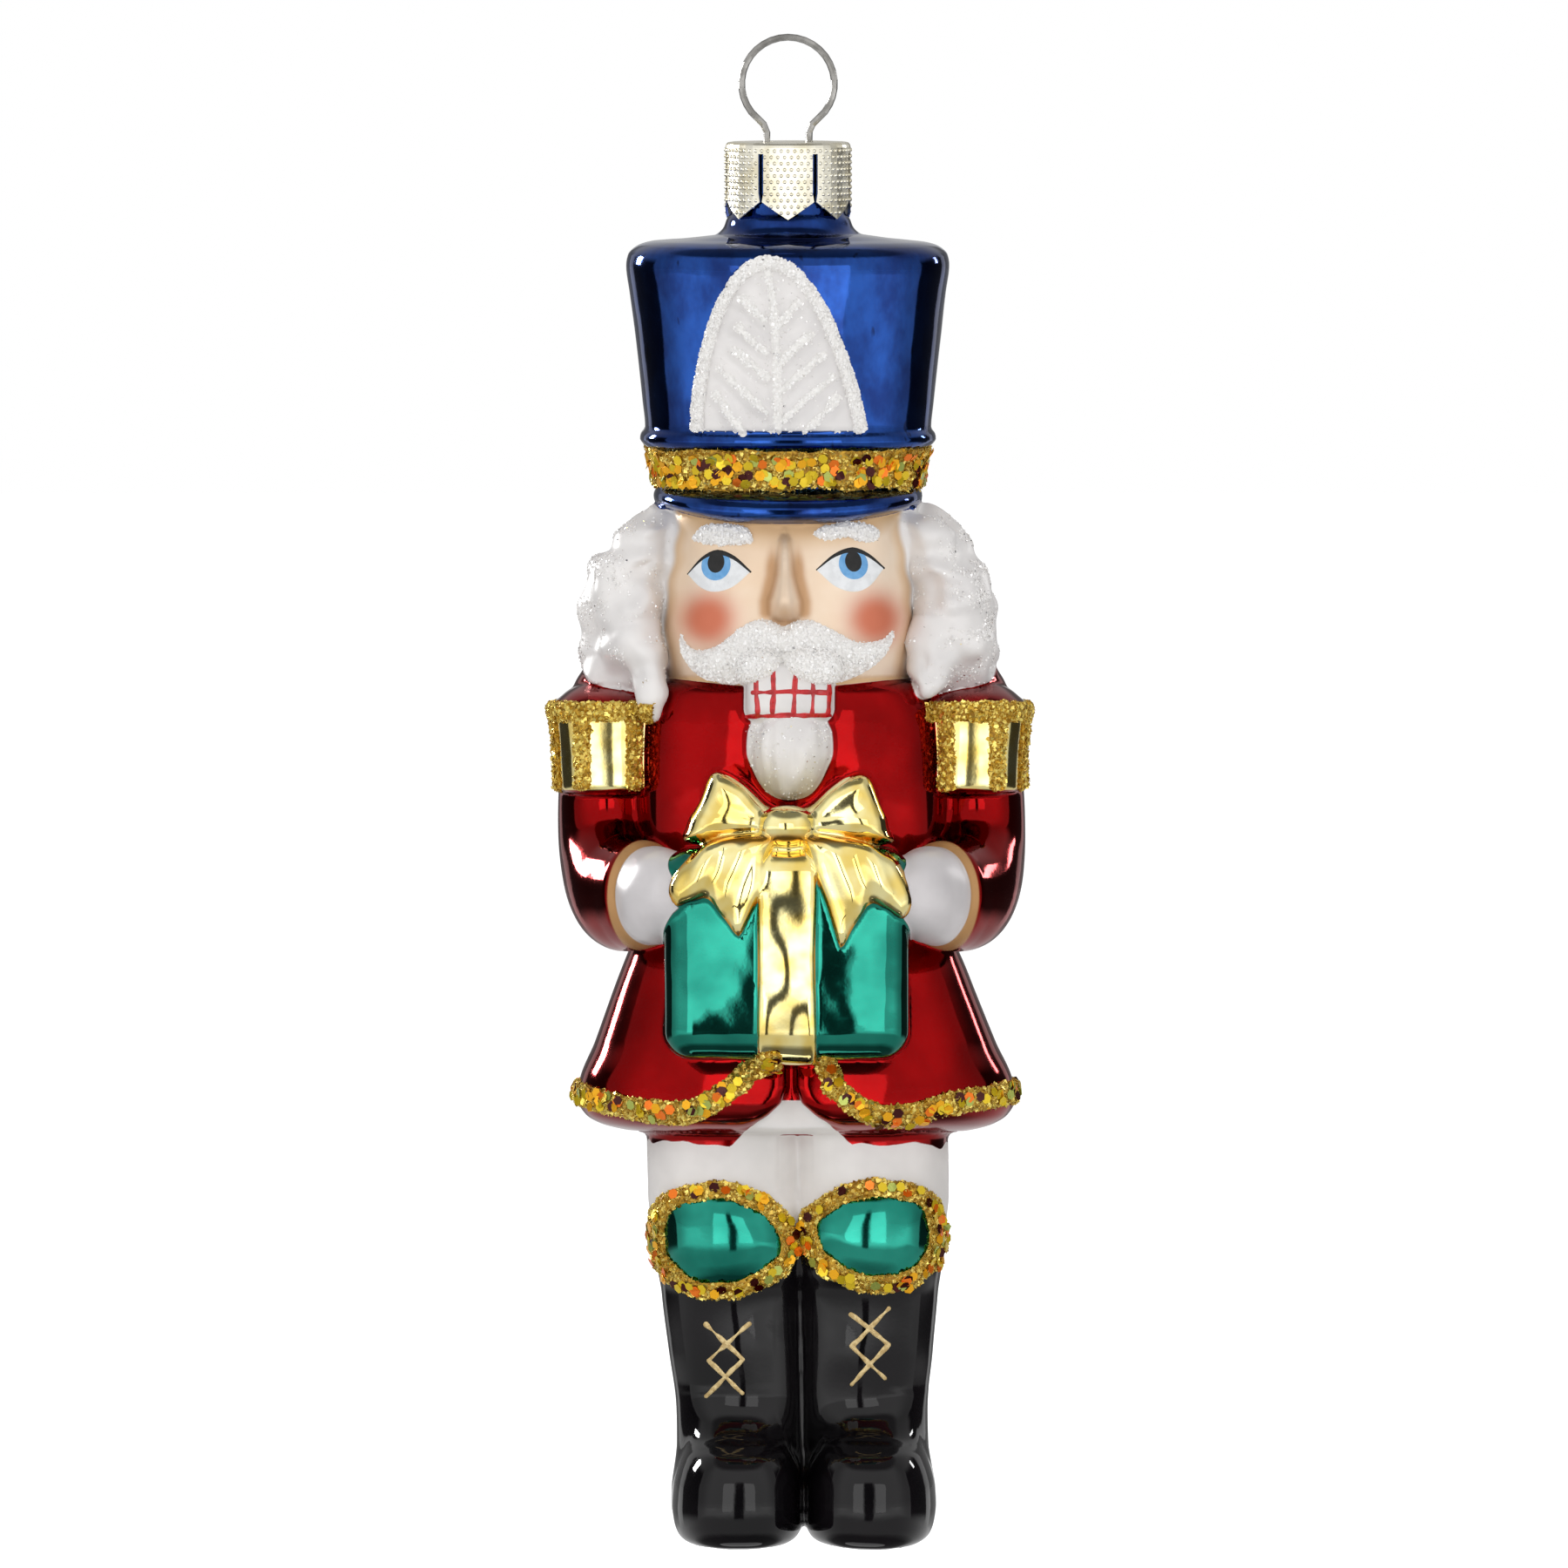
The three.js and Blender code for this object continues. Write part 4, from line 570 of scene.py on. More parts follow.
def mesh_figure():
    """Points and quads of the figure, each point drawn onto the exact surface."""
    grid = openvdb.FloatGrid(FAR)
    grid.copyFromArray(joined_on_grid())
    points, _triangles, quads = grid.convertToPolygons(0.0, 0.0)
    points = points.astype(float) * VOXEL + GRID_LOW
    quads = quads.astype(int)
    corners = points[quads]
    if np.einsum("ij,ij->i", corners[:, 0], np.cross(corners[:, 1], corners[:, 2])).sum() < 0:
        quads = quads[:, ::-1]
    step, longest = 0.02, 0.25
    for _ in range(2):
        slope = np.stack([
            (joined_at(points + step * axis) - joined_at(points - step * axis)) / (2 * step)
            for axis in np.eye(3)
        ], axis=1)
        steep = np.maximum((slope**2).sum(axis=1, keepdims=True), 0.25)
        move = joined_at(points)[:, None] * slope / steep
        length = np.linalg.norm(move, axis=1, keepdims=True)
        points = points - move * np.minimum(1, longest / (length + FINE))
    return points, quads


# ---- Regions in the front view ----

PLUME_FOOT = 112.0


def plume_arch(inset):
    """The plume's arch, drawn in by an inset."""
    half_foot, tall = 8.7, 17.4
    t = np.sin(np.linspace(0, math.pi / 2, 15))
    middle = -0.85 - 1.1 * t**0.8
    half = half_foot * (1 - t**1.35) ** 0.46 * ((half_foot - inset) / half_foot)
    heights = PLUME_FOOT + t * (tall - inset)
    right = np.stack([middle + half, heights], axis=1)
    left = np.stack([middle - half, heights], axis=1)
    return np.vstack([right, left[::-1][1:]])


KNEES = {
    -1: rounded([(-12.4, 30.5), (-12, 33.2), (-9.4, 34.3), (-5.4, 34.4), (-2, 32.6), (-0.6, 29.9),
                 (-2.2, 27.4), (-6.2, 26), (-10, 26.6), (-12, 28.4)]),
    1: rounded([(14.1, 30.6), (13.7, 33.4), (11, 34.6), (7, 34.5), (4, 33), (2.6, 31.2), (4.2, 28.4),
                (7.6, 26.8), (11, 26.8), (13.6, 28.6)]),
}


def front_gate(points, values):
    """The values in front of the figure's middle, and outside everywhere else."""
    return np.minimum(values, (-points[:, 1] - 1) * 2)


def into(points, outline):
    """Signed distance into a front-view outline."""
    return -outline_distance(points[:, 0], points[:, 2], outline)


def off_lines(points, lines):
    """Distance to the nearest of some front-view lines."""
    return np.min([stroke_distance(points[:, 0], points[:, 2], line) for line in lines], axis=0)


def plume_mask(points, inset):
    return front_gate(points, into(points, plume_arch(inset)))


def knee_mask(points, side, grow=0.0):
    return front_gate(points, grow + into(points, KNEES[side]))


BARBS = [
    [(-2, 128.5), (-1.2, 122), (-0.9, PLUME_FOOT)],
    [(-4.6, 125.4), (-2.4, 123.3)], [(-4.9, 122.4), (-2.2, 119.9)], [(-5.4, 120.3), (-2, 117.4)],
    [(-6.6, 118.2), (-2.2, 114.0)], [(-6.9, 115.6), (-4.5, 111.9)],
    [(0.9, 124.9), (-1, 122.6)], [(2.2, 121.8), (-0.6, 119.2)], [(3.4, 119.6), (-0.6, 116.2)],
    [(4.4, 117.4), (-0.4, 113.2)], [(5, 115.4), (1.6, 111.9)],
]


def barb_mask(p):
    return front_gate(p, 0.34 - off_lines(p, BARBS) + 0.1 * waves(p, 1.6, 23))


def bump_at(points, x, z, radius):
    """A soft round hill in the front view."""
    square = (points[:, 0] - x) ** 2 + (points[:, 2] - z) ** 2
    return np.exp(-square / radius**2) * (points[:, 1] < -4)


base, quads = mesh_figure()
groups = group_distances(base)


def own(*names):
    """Signed distance into the area that the named groups cover."""
    mine = np.min([groups[n] for n in names], axis=0)
    rest = np.min([groups[n] for n in GROUPS if n not in names], axis=0)
    return rest - mine


def share(*names):
    """1 inside the named groups' area and 0 outside it."""
    return ramp(own(*names), -0.2, 0.6)


def relief():
    """Fine relief of the blown glass: waves of the wall, locks of hair, folds, raised plates."""
    x, z = base[:, 0], base[:, 2]
    off = np.abs(x - GIFT_X)
    hat_share, leg_share, face_share, bow_share = share("hat"), share("leg"), share("face"), share("bow")
    lift = 0.035 * waves(base, 11, 1) + 0.006 * waves(base, 4.5, 2)
    lift += share("hair") * (0.3 * waves(base, 5.6, 3) + 0.13 * waves(base, 2.8, 4))
    lift += share("beard") * 0.11 * waves(base, 1.5, 5, (1, 1, 5))
    lift += share("gift") * (0.05 * waves(base, 8, 6, (0.7, 1, 1.8)) + 0.008 * waves(base, 3, 7))
    flutes = 0.2 * np.cos(np.arctan2(z - KNOT, off) * 9)
    loops = bow_share * ramp(z, 71.5, 73) * ramp(off, 2.6, 4.4) * flutes
    folds = 0.18 * np.cos((np.abs(x) * 0.9 + z * 0.35) * 2.2)
    tails = bow_share * ramp(-z, -70.6, -69.4) * ramp(off, 2.6, 4) * folds
    lift += bow_share * 0.06 * waves(base, 4.5, 8, (0.7, 1, 2)) + loops + tails
    lift += share("glove") * 0.05 * waves(base, 4, 9)
    lift += 0.42 * hat_share * ramp(plume_mask(base, 0.5), -0.35, 0.25)
    ridges = ramp(barb_mask(base), -0.9, 0.1) * ramp(plume_mask(base, 1.3), -0.2, 0.2)
    lift += hat_share * ridges * mix(0.3, 0.14, ramp(x, -0.5, 1.5))
    for side in SIDES:
        cheek, socket = bump_at(base, side * 8.6, 92.4, 3.4), bump_at(base, side * 6.8, 99.6, 2.6)
        eyeball = bump_at(base, side * 6.8 - 0.2, 97.4, 2.3)
        lift += 0.55 * leg_share * ramp(knee_mask(base, side), -0.9, 2.6)
        lift += face_share * (0.35 * cheek - 0.3 * socket + 0.28 * eyeball)
    lift[np.hypot(x, base[:, 1]) < NECK_R + 0.4] = 0
    return lift


normals = point_normals(base, quads)
points = base + normals * relief()[:, None]
normals = point_normals(points, quads)


# ---- Meshes ----


def raised(points):
    """The points with the figure's front, between boots and hat, raised in step with its depth."""
    z = points[:, 2]
    lift = np.maximum(-points[:, 1], 0) * RAISE * ramp(z, 1, 9) * (1 - ramp(z, BRIM - 1, BRIM + 3))
    return points + lift[:, None] * [0, 0, 1]


def add_object(name, data):
    made = bpy.data.objects.new(name, data)
    bpy.context.scene.collection.objects.link(made)
    return made


def build(name, points, quads, materials, indices=None, smooth=True, values=()):
    """A mesh object from millimetre points and quads."""
    mesh = bpy.data.meshes.new(name)
    placed = (raised(points) + [0, 0, SOLES]) * MM
    mesh.from_pydata(placed.tolist(), [], quads.tolist())
    for material in materials:
        mesh.materials.append(material)
    if indices is not None:
        mesh.polygons.foreach_set("material_index", np.array(indices, np.int32))
    mesh.polygons.foreach_set("use_smooth", np.full(len(quads), smooth))
    for key, numbers in dict(values).items():
        attribute = mesh.attributes.new(key, "FLOAT", "POINT")
        attribute.data.foreach_set("value", np.asarray(numbers, np.float32))
    mesh.update()
    return add_object(name, mesh)


def edges_of(quads):
    """The quads' edges as pairs of points, in the quads' own order."""
    return np.stack([quads, np.roll(quads, -1, axis=1)], axis=2).reshape(-1, 2)


def split(columns, quads):
    """Each quad in four."""
    unique, which = np.unique(np.sort(edges_of(quads), axis=1), axis=0, return_inverse=True)
    which = which.reshape(-1, 4) + len(columns)
    centres = np.arange(len(quads)) + len(columns) + len(unique)
    grown = np.vstack([columns, columns[unique].mean(axis=1), columns[quads].mean(axis=1)])
    made = [np.stack([quads[:, i], which[:, i], centres, which[:, i - 1]], axis=1) for i in range(4)]
    return grown, np.vstack(made)


def compact(columns, quads):
    used, places = np.unique(quads, return_inverse=True)
    return columns[used], places.reshape(-1, 4)


def overlay(mask, profile, levels, sink=0.12):
    """A closed layer on the figure where mask is above 0: points, quads, how many are on top, and
    the mask and the outward direction at the points on top.

    profile gives the layer's height from the mask, and its rim dips under the glass."""
    columns = np.hstack([points, normals, base])
    columns, faces = compact(columns, quads[mask(base)[quads].max(axis=1) > -0.5])
    for _ in range(levels):
        columns, faces = split(columns, faces)
    columns, faces = compact(columns, faces[mask(columns[:, 6:9])[faces].max(axis=1) > -0.12])
    values, up = mask(columns[:, 6:9]), unit(columns[:, 3:6])
    height = np.where(values > 0, profile(np.maximum(values, 0)), values * 0.6)
    top = columns[:, :3] + up * height[:, None]
    bottom = columns[:, :3] - up * sink
    edges = edges_of(faces)
    _, first, times = np.unique(np.sort(edges, axis=1), axis=0, return_index=True, return_counts=True)
    rim, count = edges[first[times == 1]], len(top)
    walls = np.stack([rim[:, 1], rim[:, 0], rim[:, 0] + count, rim[:, 1] + count], axis=1)
    closed = np.vstack([faces, faces[:, ::-1] + count, walls])
    return np.vstack([top, bottom]), closed, len(faces), values, up


def dome(thick, width):
    return lambda inside: thick * np.sqrt(1 - (1 - np.clip(inside / width, 0, 1)) ** 2)


def film(thick):
    return lambda inside: thick * np.clip(inside / 0.08, 0, 1)


# Flat shapes of flakes: corners and the quads between them
HEXAGON = (np.array([[math.cos(a), math.sin(a)] for a in np.radians(np.arange(0, 360, 60))]),
           [[0, 1, 2, 3], [0, 3, 4, 5]])
CHIP = (np.array([[1, 0.7], [-0.8, 1], [-1, -0.8], [0.7, -1]]), [[0, 1, 2, 3]])


def repeated(quads, count, stride):
    """The same quads for each of many small pieces."""
    return (np.array(quads)[None] + (np.arange(count) * stride)[:, None, None]).reshape(-1, 4)


def flakes(places, ups, sizes, tilt, thick, shape, random):
    """Thin plates lying on a surface, each turned and tilted by chance: points, quads, grains."""
    flat, face = shape
    count, corners = len(places), len(flat)
    up = unit(ups + random.normal(size=(count, 3)) * tilt)
    side = unit(np.cross(up, random.normal(size=(count, 3))))
    other = np.cross(up, side)
    ring = (side[:, None] * flat[None, :, :1] + other[:, None] * flat[None, :, 1:]) * sizes[:, None, None]
    high = places[:, None] + ring + up[:, None] * thick / 2
    low = places[:, None] + ring - up[:, None] * thick / 2
    made = np.concatenate([high, low], axis=1).reshape(-1, 3)
    after = [(i + 1) % corners for i in range(corners)]
    quads = face + [[i + corners for i in reversed(f)] for f in face]
    quads += [[after[i], i, i + corners, after[i] + corners] for i in range(corners)]
    return made, repeated(quads, count, 2 * corners), np.repeat(random.random(count), 2 * corners)


def scatter(points, faces, weight, density, random):
    """Random places on faces, with their face numbers: density is per square millimetre."""
    p, q, r, s = (points[faces[:, i]] for i in range(4))
    chance = np.linalg.norm(np.cross(r - p, s - q), axis=1) / 2 * np.maximum(weight, 0)
    count = int(chance.sum() * density)
    chosen = random.choice(len(faces), count, p=chance / chance.sum())
    a, b = random.random((2, count, 1))
    p, q, r, s = (c[chosen] for c in (p, q, r, s))
    return (p * (1 - a) + q * a) * (1 - b) + (s * (1 - a) + r * a) * b, chosen


# ---- Materials ----


def srgb(*levels):
    """A linear colour from 8-bit screen levels."""
    return tuple(((v / 255 + 0.055) / 1.055) ** 2.4 if v > 10 else v / 255 / 12.92 for v in levels) + (1.0,)


class Nodes:
    """A node tree, built with short calls."""

    def __init__(self, tree):
        self.tree = tree

    def add(self, kind, inputs=(), **settings):
        node = self.tree.nodes.new(kind)
        for key, value in settings.items():
            setattr(node, key, value)
        for key, value in dict(inputs).items():
            self.put(node.inputs[key], value)
        return node

    def put(self, socket, value):
        if isinstance(value, bpy.types.NodeSocket):
            self.tree.links.new(value, socket)
        else:
            socket.default_value = value

    def maths(self, operation, a, b=0.0):
        return self.add("ShaderNodeMath", {0: a, 1: b}, operation=operation).outputs[0]

    def seen_rays(self):
        """1 for rays from the camera and through mirrors and glass, and 0 for the rest."""
        rays = self.add("ShaderNodeLightPath").outputs
        mirrored = self.maths("ADD", rays["Is Glossy Ray"], rays["Is Transmission Ray"])
        return self.maths("ADD", rays["Is Camera Ray"], mirrored)


class Finish(Nodes):
    """A node material with one Principled shader."""

    def __init__(self, name):
        self.material = bpy.data.materials.new(name)
        self.material.use_nodes = True
        super().__init__(self.material.node_tree)
        self.shader = self.tree.nodes["Principled BSDF"]
        self.place = self.add("ShaderNodeTexCoord").outputs["Object"]

    def set(self, **values):
        for key, value in values.items():
            self.put(self.shader.inputs[key.replace("_", " ")], value)
        return self.material

    def value(self, name):
        return self.add("ShaderNodeAttribute", attribute_name=name).outputs["Fac"]

    def noise(self, size, detail=2.0, roughness=0.5, stretch=None):
        """Soft noise from 0 to 1 with hills `size` millimetres apart."""
        place = self.place
        if stretch:
            place = self.add("ShaderNodeMapping", {"Vector": place, "Scale": stretch}).outputs[0]
        inputs = {"Vector": place, "Scale": 1 / (size * MM), "Detail": detail, "Roughness": roughness}
        return self.add("ShaderNodeTexNoise", inputs).outputs["Fac"]

    def ramp(self, value, low, high, to_low=0.0, to_high=1.0):
        return self.add("ShaderNodeMapRange", {
            "Value": value, "From Min": low, "From Max": high, "To Min": to_low, "To Max": to_high,
        }, interpolation_type="SMOOTHSTEP").outputs[0]

    def colour(self, factor, a, b):
        return self.add("ShaderNodeMix", {0: factor, 6: a, 7: b}, data_type="RGBA").outputs[2]

    def number(self, factor, a, b):
        return self.add("ShaderNodeMix", {0: factor, 2: a, 3: b}, data_type="FLOAT").outputs[0]

    def bump(self, height, distance_mm, strength=1.0):
        inputs = {"Height": height, "Distance": distance_mm * MM, "Strength": strength}
        return self.add("ShaderNodeBump", inputs).outputs["Normal"]


def nose_shade():
    """Painted shade down both sides of the nose and under its tip."""
    x, z = base[:, 0] + 0.3, base[:, 2]
    off = np.abs(x) - np.interp(z, (92.5, 94.3, 97, 101), (1.9, 2, 1.35, 1.15))
    shade = np.exp(-((off / 0.75) ** 2)) * ramp(z, 92, 93.2) * (1 - 0.85 * ramp(z, 97.6, 101))
    under = bump_at(base, -0.3, 92.2, 2.2)
    return np.maximum(shade, 0.8 * under) * (base[:, 1] < -4)


def cuff_line():
    """Signed distance into the thin line round each cuff."""
    nearest = np.minimum(groups["coat"], groups["glove"])
    beside_cuff = 0.26 - np.abs((groups["coat"] - groups["glove"]) / 2 + 0.2)
    clear = np.minimum(groups["gift"], groups["bow"]) - nearest - 0.3
    return np.minimum(np.minimum(beside_cuff, clear), 1.2 - nearest)


def paint_masks():
    """Signed distances in millimetres into each painted area, with weights for the painted shade and the
    blush.
    """
    x, y, z = base.T
    leg_own = own("leg")
    opening = np.min([0.1 + into(base, front_notch()), y + 12.4, -6 - y, HEM + 3.4 - z], axis=0)
    spill = own("coat") + 1.15 + 0.25 * waves(base, 3, 41)
    knees = np.maximum(knee_mask(base, -1, 0.4), knee_mask(base, 1, 0.4))
    board_gold = np.minimum(own("board"), np.minimum(BOARD_TOP + 0.1 - z, z - (BOARD_TOP - 8.5)))
    return {
        "m_hat": own("hat"),
        "m_plume": np.minimum(plume_mask(base, 0.4), own("hat")),
        "m_face": own("face"),
        "m_hairline": groups["hair"] - groups["face"],
        # Painted shade beside the nose and under its tip.
        "m_nose_shade": nose_shade(),
        "m_pearl": own("hair", "jaw", "beard", "face"),
        "m_glove": own("glove"),
        "m_cuff": cuff_line(),
        "m_trouser": np.maximum(leg_own, opening),
        "m_boot": np.minimum(own("leg", "foot"), KNEE - 0.3 - z),
        "m_knee": np.minimum(knees, leg_own),
        "m_gift": own("gift", "bow"),
        "m_bow": own("bow"),
        "m_board": np.minimum(board_gold, np.abs(x) - 13.6),
        "m_blush": np.maximum(bump_at(base, -7.9, 92.6, 3.0), bump_at(base, 8.6, 92.6, 3.0)),
        "m_spill": np.min([spill, 44 - z, np.abs(x - lean(HEM)) - 3.2, -opening], axis=0),
        # Painted shade: a tan strip on the forehead just under the hat's brim.
        "m_brim_shade": np.exp(-(((z - BRIM + 1) / 1.1) ** 2)) * (1 - ramp(np.abs(x), 8, 11)),
        # Painted shade: the bow's crease, where its loops meet its tails.
        "m_crease_shade": np.minimum(own("bow"), np.abs(z - 70.6) * 0.8),
    }


def layer(f, state, value, edge, colour, metallic, roughness, coat):
    """One paint laid over what is there: colour, metallic, roughness and coat, inside a mask."""
    factor = f.ramp(value, -edge, edge)
    paint = zip(state[1:], (metallic, roughness, coat))
    return [f.colour(factor, state[0], colour), *[f.number(factor, old, new) for old, new in paint]]


def painted_glass():
    """Mirrored glass under clear lacquers, with matt paints inside their masks."""
    f = Finish("painted_glass")
    broad = f.noise(7, 3)
    wobble = f.maths("MULTIPLY", f.maths("SUBTRACT", f.noise(2.2, 2), 0.5), 0.5)

    def varied(dark, light, by=broad):
        return f.colour(f.ramp(by, 0.3, 0.7), srgb(*dark), srgb(*light))

    red = varied((130, 1, 3), (155, 3, 6))
    cloud = f.ramp(f.noise(4.5, 4, 0.6, (1, 1, 0.6)), 0.34, 0.68)
    streak = f.ramp(f.noise(1.3, 2, 0.5, (1, 1, 0.35)), 0.68, 0.74, 0.0, 0.75)
    blue = f.colour(cloud, srgb(17, 44, 106), srgb(31, 74, 152))
    blue = f.colour(streak, blue, srgb(10, 24, 62))
    green = varied((15, 108, 93), (35, 144, 124))
    knee_green = varied((20, 122, 106), (44, 158, 138))
    gold = varied((238, 208, 110), (255, 244, 178), f.noise(3, 2))
    # Painted shade: the bow's gold turns amber along its crease.
    bow_gold = f.colour(f.ramp(f.value("m_crease_shade"), 0.0, 0.6), srgb(214, 150, 40), gold)
    pearl = varied((219, 216, 215), (237, 234, 232))
    flesh = varied((243, 220, 196), (252, 237, 220))
    white = varied((222, 219, 216), (238, 235, 232))
    kid = varied((196, 192, 193), (212, 208, 209))
    black = varied((8, 7, 9), (16, 13, 16))
    # Painted shade: the flesh turns tan toward the face's edges, by the hair, hat and jaw.
    skin = f.colour(f.ramp(f.value("m_face"), 0.0, 4.6), srgb(212, 176, 132), flesh)
    # Painted shade: tan under the hat's brim and down the sides of the nose; then the cheeks' blush, which is
    # paint.
    for mask, low, high, most, tone in (("m_brim_shade", 0.2, 1.0, 0.2, (206, 152, 96)),
                                        ("m_nose_shade", 0.1, 1.0, 0.78, (184, 132, 78)),
                                        ("m_blush", 0.03, 0.95, 0.86, (198, 82, 36))):
        skin = f.colour(f.ramp(f.value(mask), low, high, 0.0, most), skin, srgb(*tone))
    skin = f.colour(f.ramp(f.value("m_hairline"), 0.1, 1.5), pearl, skin)

    # Each paint in turn: mask, edge, colour, metallic, roughness, coat
    state = [red, 1.0, 0.08, 0.1]
    for mask, *paint in (
        ("m_hat", 0.05, blue, 1.0, 0.08, 0.2),
        ("m_plume", 0.08, pearl, 0.1, 0.42, 0.0),
        ("m_pearl", 0.1, pearl, 0.1, 0.38, 0.0),
        ("m_trouser", 0.06, white, 0.06, 0.4, 0.0),
        ("m_spill", 0.07, red, 1.0, 0.14, 0.2),
        ("m_boot", 0.06, black, 0.0, 0.05, 0.1),
        ("m_knee", 0.08, knee_green, 1.0, 0.08, 0.2),
        ("m_glove", 0.06, kid, 0.1, 0.34, 0.0),
        ("m_cuff", 0.06, srgb(182, 138, 90), 0.3, 0.4, 0.0),
        ("m_gift", 0.06, green, 1.0, 0.07, 0.2),
        ("m_bow", 0.06, bow_gold, 1.0, 0.08, 0.2),
        ("m_board", 0.08, gold, 1.0, 0.1, 0.2),
        ("m_face", 0.08, skin, 0.2, 0.36, 0.0),
    ):
        value = f.value(mask)
        if mask == "m_spill":
            value = f.maths("ADD", value, wobble)
        state = layer(f, state, value, *paint)

    colour, metallic, roughness, coat = state
    rough = f.maths("ADD", roughness, f.ramp(f.noise(0.9, 3), 0.55, 0.8, 0.0, 0.05))
    f.set(Base_Color=colour, Metallic=metallic, Roughness=rough, Coat_Weight=coat)
    return f.set(Coat_Roughness=0.03, Specular_IOR_Level=0.3, Normal=f.bump(f.noise(0.5, 2), 0.006, 0.5))


def simple(name, dark, light, size, metallic, roughness, grain=False, bump=0.02, coat=0.0, plain=0.95):
    """A finish between two tones, picked by noise or by each flake's grain.

    With no metallic, flakes whose grain is above `plain` mirror and the others are matt."""
    f = Finish(name)
    mixer = f.value("grain") if grain else f.ramp(f.noise(size, 3), 0.35, 0.65)
    shine = f.ramp(mixer, plain - 0.005, plain + 0.005, 0.0, 0.85) if metallic is None else metallic
    rough = f.ramp(f.noise(size * 0.7, 2), 0.2, 0.8, roughness * 0.8, roughness * 1.2)
    f.set(Base_Color=f.colour(mixer, srgb(*dark), srgb(*light)), Metallic=shine, Roughness=rough)
    return f.set(Coat_Weight=coat, Normal=f.bump(f.noise(size * 0.5, 2), bump))


def sequin_finish():
    """Sequin foil in five tones, picked by each sequin's grain value."""
    f = Finish("sequin_foil")
    node = f.add("ShaderNodeValToRGB", {"Fac": f.value("grain")})
    tones = ((0.0, (64, 4, 0)), (0.14, (244, 122, 24)), (0.3, (252, 182, 24)), (0.58, (226, 194, 34)),
             (0.9, (176, 186, 90)))
    bar = node.color_ramp
    bar.interpolation = "CONSTANT"
    while len(bar.elements) < len(tones):
        bar.elements.new(0.5)
    for stop, (place, tone) in zip(bar.elements, tones):
        stop.position = place
        stop.color = srgb(*tone)
    rough = f.ramp(f.noise(0.6, 2), 0.3, 0.7, 0.16, 0.28)
    f.set(Base_Color=node.outputs["Color"], Metallic=0.5, Roughness=rough)
    return f.set(Normal=f.bump(f.noise(0.4, 1), 0.01))


GOLD_FLAKE = ((176, 128, 18), (255, 234, 126))
WHITE_FLAKE = ((240, 237, 234), (254, 253, 252))
glass_paint = painted_glass()
gold_glue = simple("gold_glue", (150, 108, 20), (206, 160, 44), 0.4, 0.4, 0.45, bump=0.05)
gold_foil = simple("gold_foil", *GOLD_FLAKE, 0.5, 0.7, 0.24, grain=True, bump=0.004)
sequin_foil = sequin_finish()
white_glue = simple("white_glue", (232, 230, 227), (245, 243, 240), 0.5, 0.0, 0.5, bump=0.04)
white_flake = simple("white_flake", *WHITE_FLAKE, 0.5, None, 0.14, grain=True, bump=0.004)
dust_flake = simple("dust_flake", *WHITE_FLAKE, 0.5, None, 0.14, grain=True, bump=0.004, plain=0.8)
champagne = simple("champagne_sheet", (232, 224, 198), (250, 246, 230), 2.5, 0.9, 0.3, bump=0.01)
steel = simple("steel_wire", (140, 138, 134), (176, 174, 170), 1.5, 1.0, 0.25, bump=0.004)
gold_paint = simple("gold_brush_paint", (184, 156, 102), (222, 198, 144), 0.5, 0.3, 0.4, bump=0.02)
red_paint = simple("red_brush_paint", (166, 6, 14), (204, 20, 28), 0.8, 0.0, 0.3, bump=0.01, coat=0.3)
black_paint = simple("black_brush_paint", (6, 5, 5), (16, 14, 14), 0.8, 0.0, 0.45, bump=0.01)
eye_white = simple("eye_white_paint", (226, 228, 230), (238, 240, 242), 1, 0.0, 0.32, bump=0.008)
eye_blue = simple("eye_blue_paint", (98, 160, 214), (118, 176, 226), 0.7, 0.0, 0.32, bump=0.008)


def on_figure(piece, *nodes, slot=None):
    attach(piece, "figure")
    if nodes:
        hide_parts(*nodes)
    return piece


def strewn(body, faces, ups, weight, density, lift, size, tilt, thick, shape, random):
    """Flakes strewn over faces by chance. Lift is one height, or two limits like size."""
    spots, chosen = scatter(body, faces, weight, density, random)
    height = lift if np.isscalar(lift) else random.uniform(*lift, (len(spots), 1))
    up = ups[faces[chosen, 0]]
    sizes = random.uniform(*size, len(spots))
    return flakes(spots + up * height, up, sizes, tilt, thick, shape, random)


figure = build("glass_figure", points, quads, [glass_paint], values=paint_masks())
on_figure(figure, "glass_body", slot="lacquered_glass")


# ---- Glitter ----


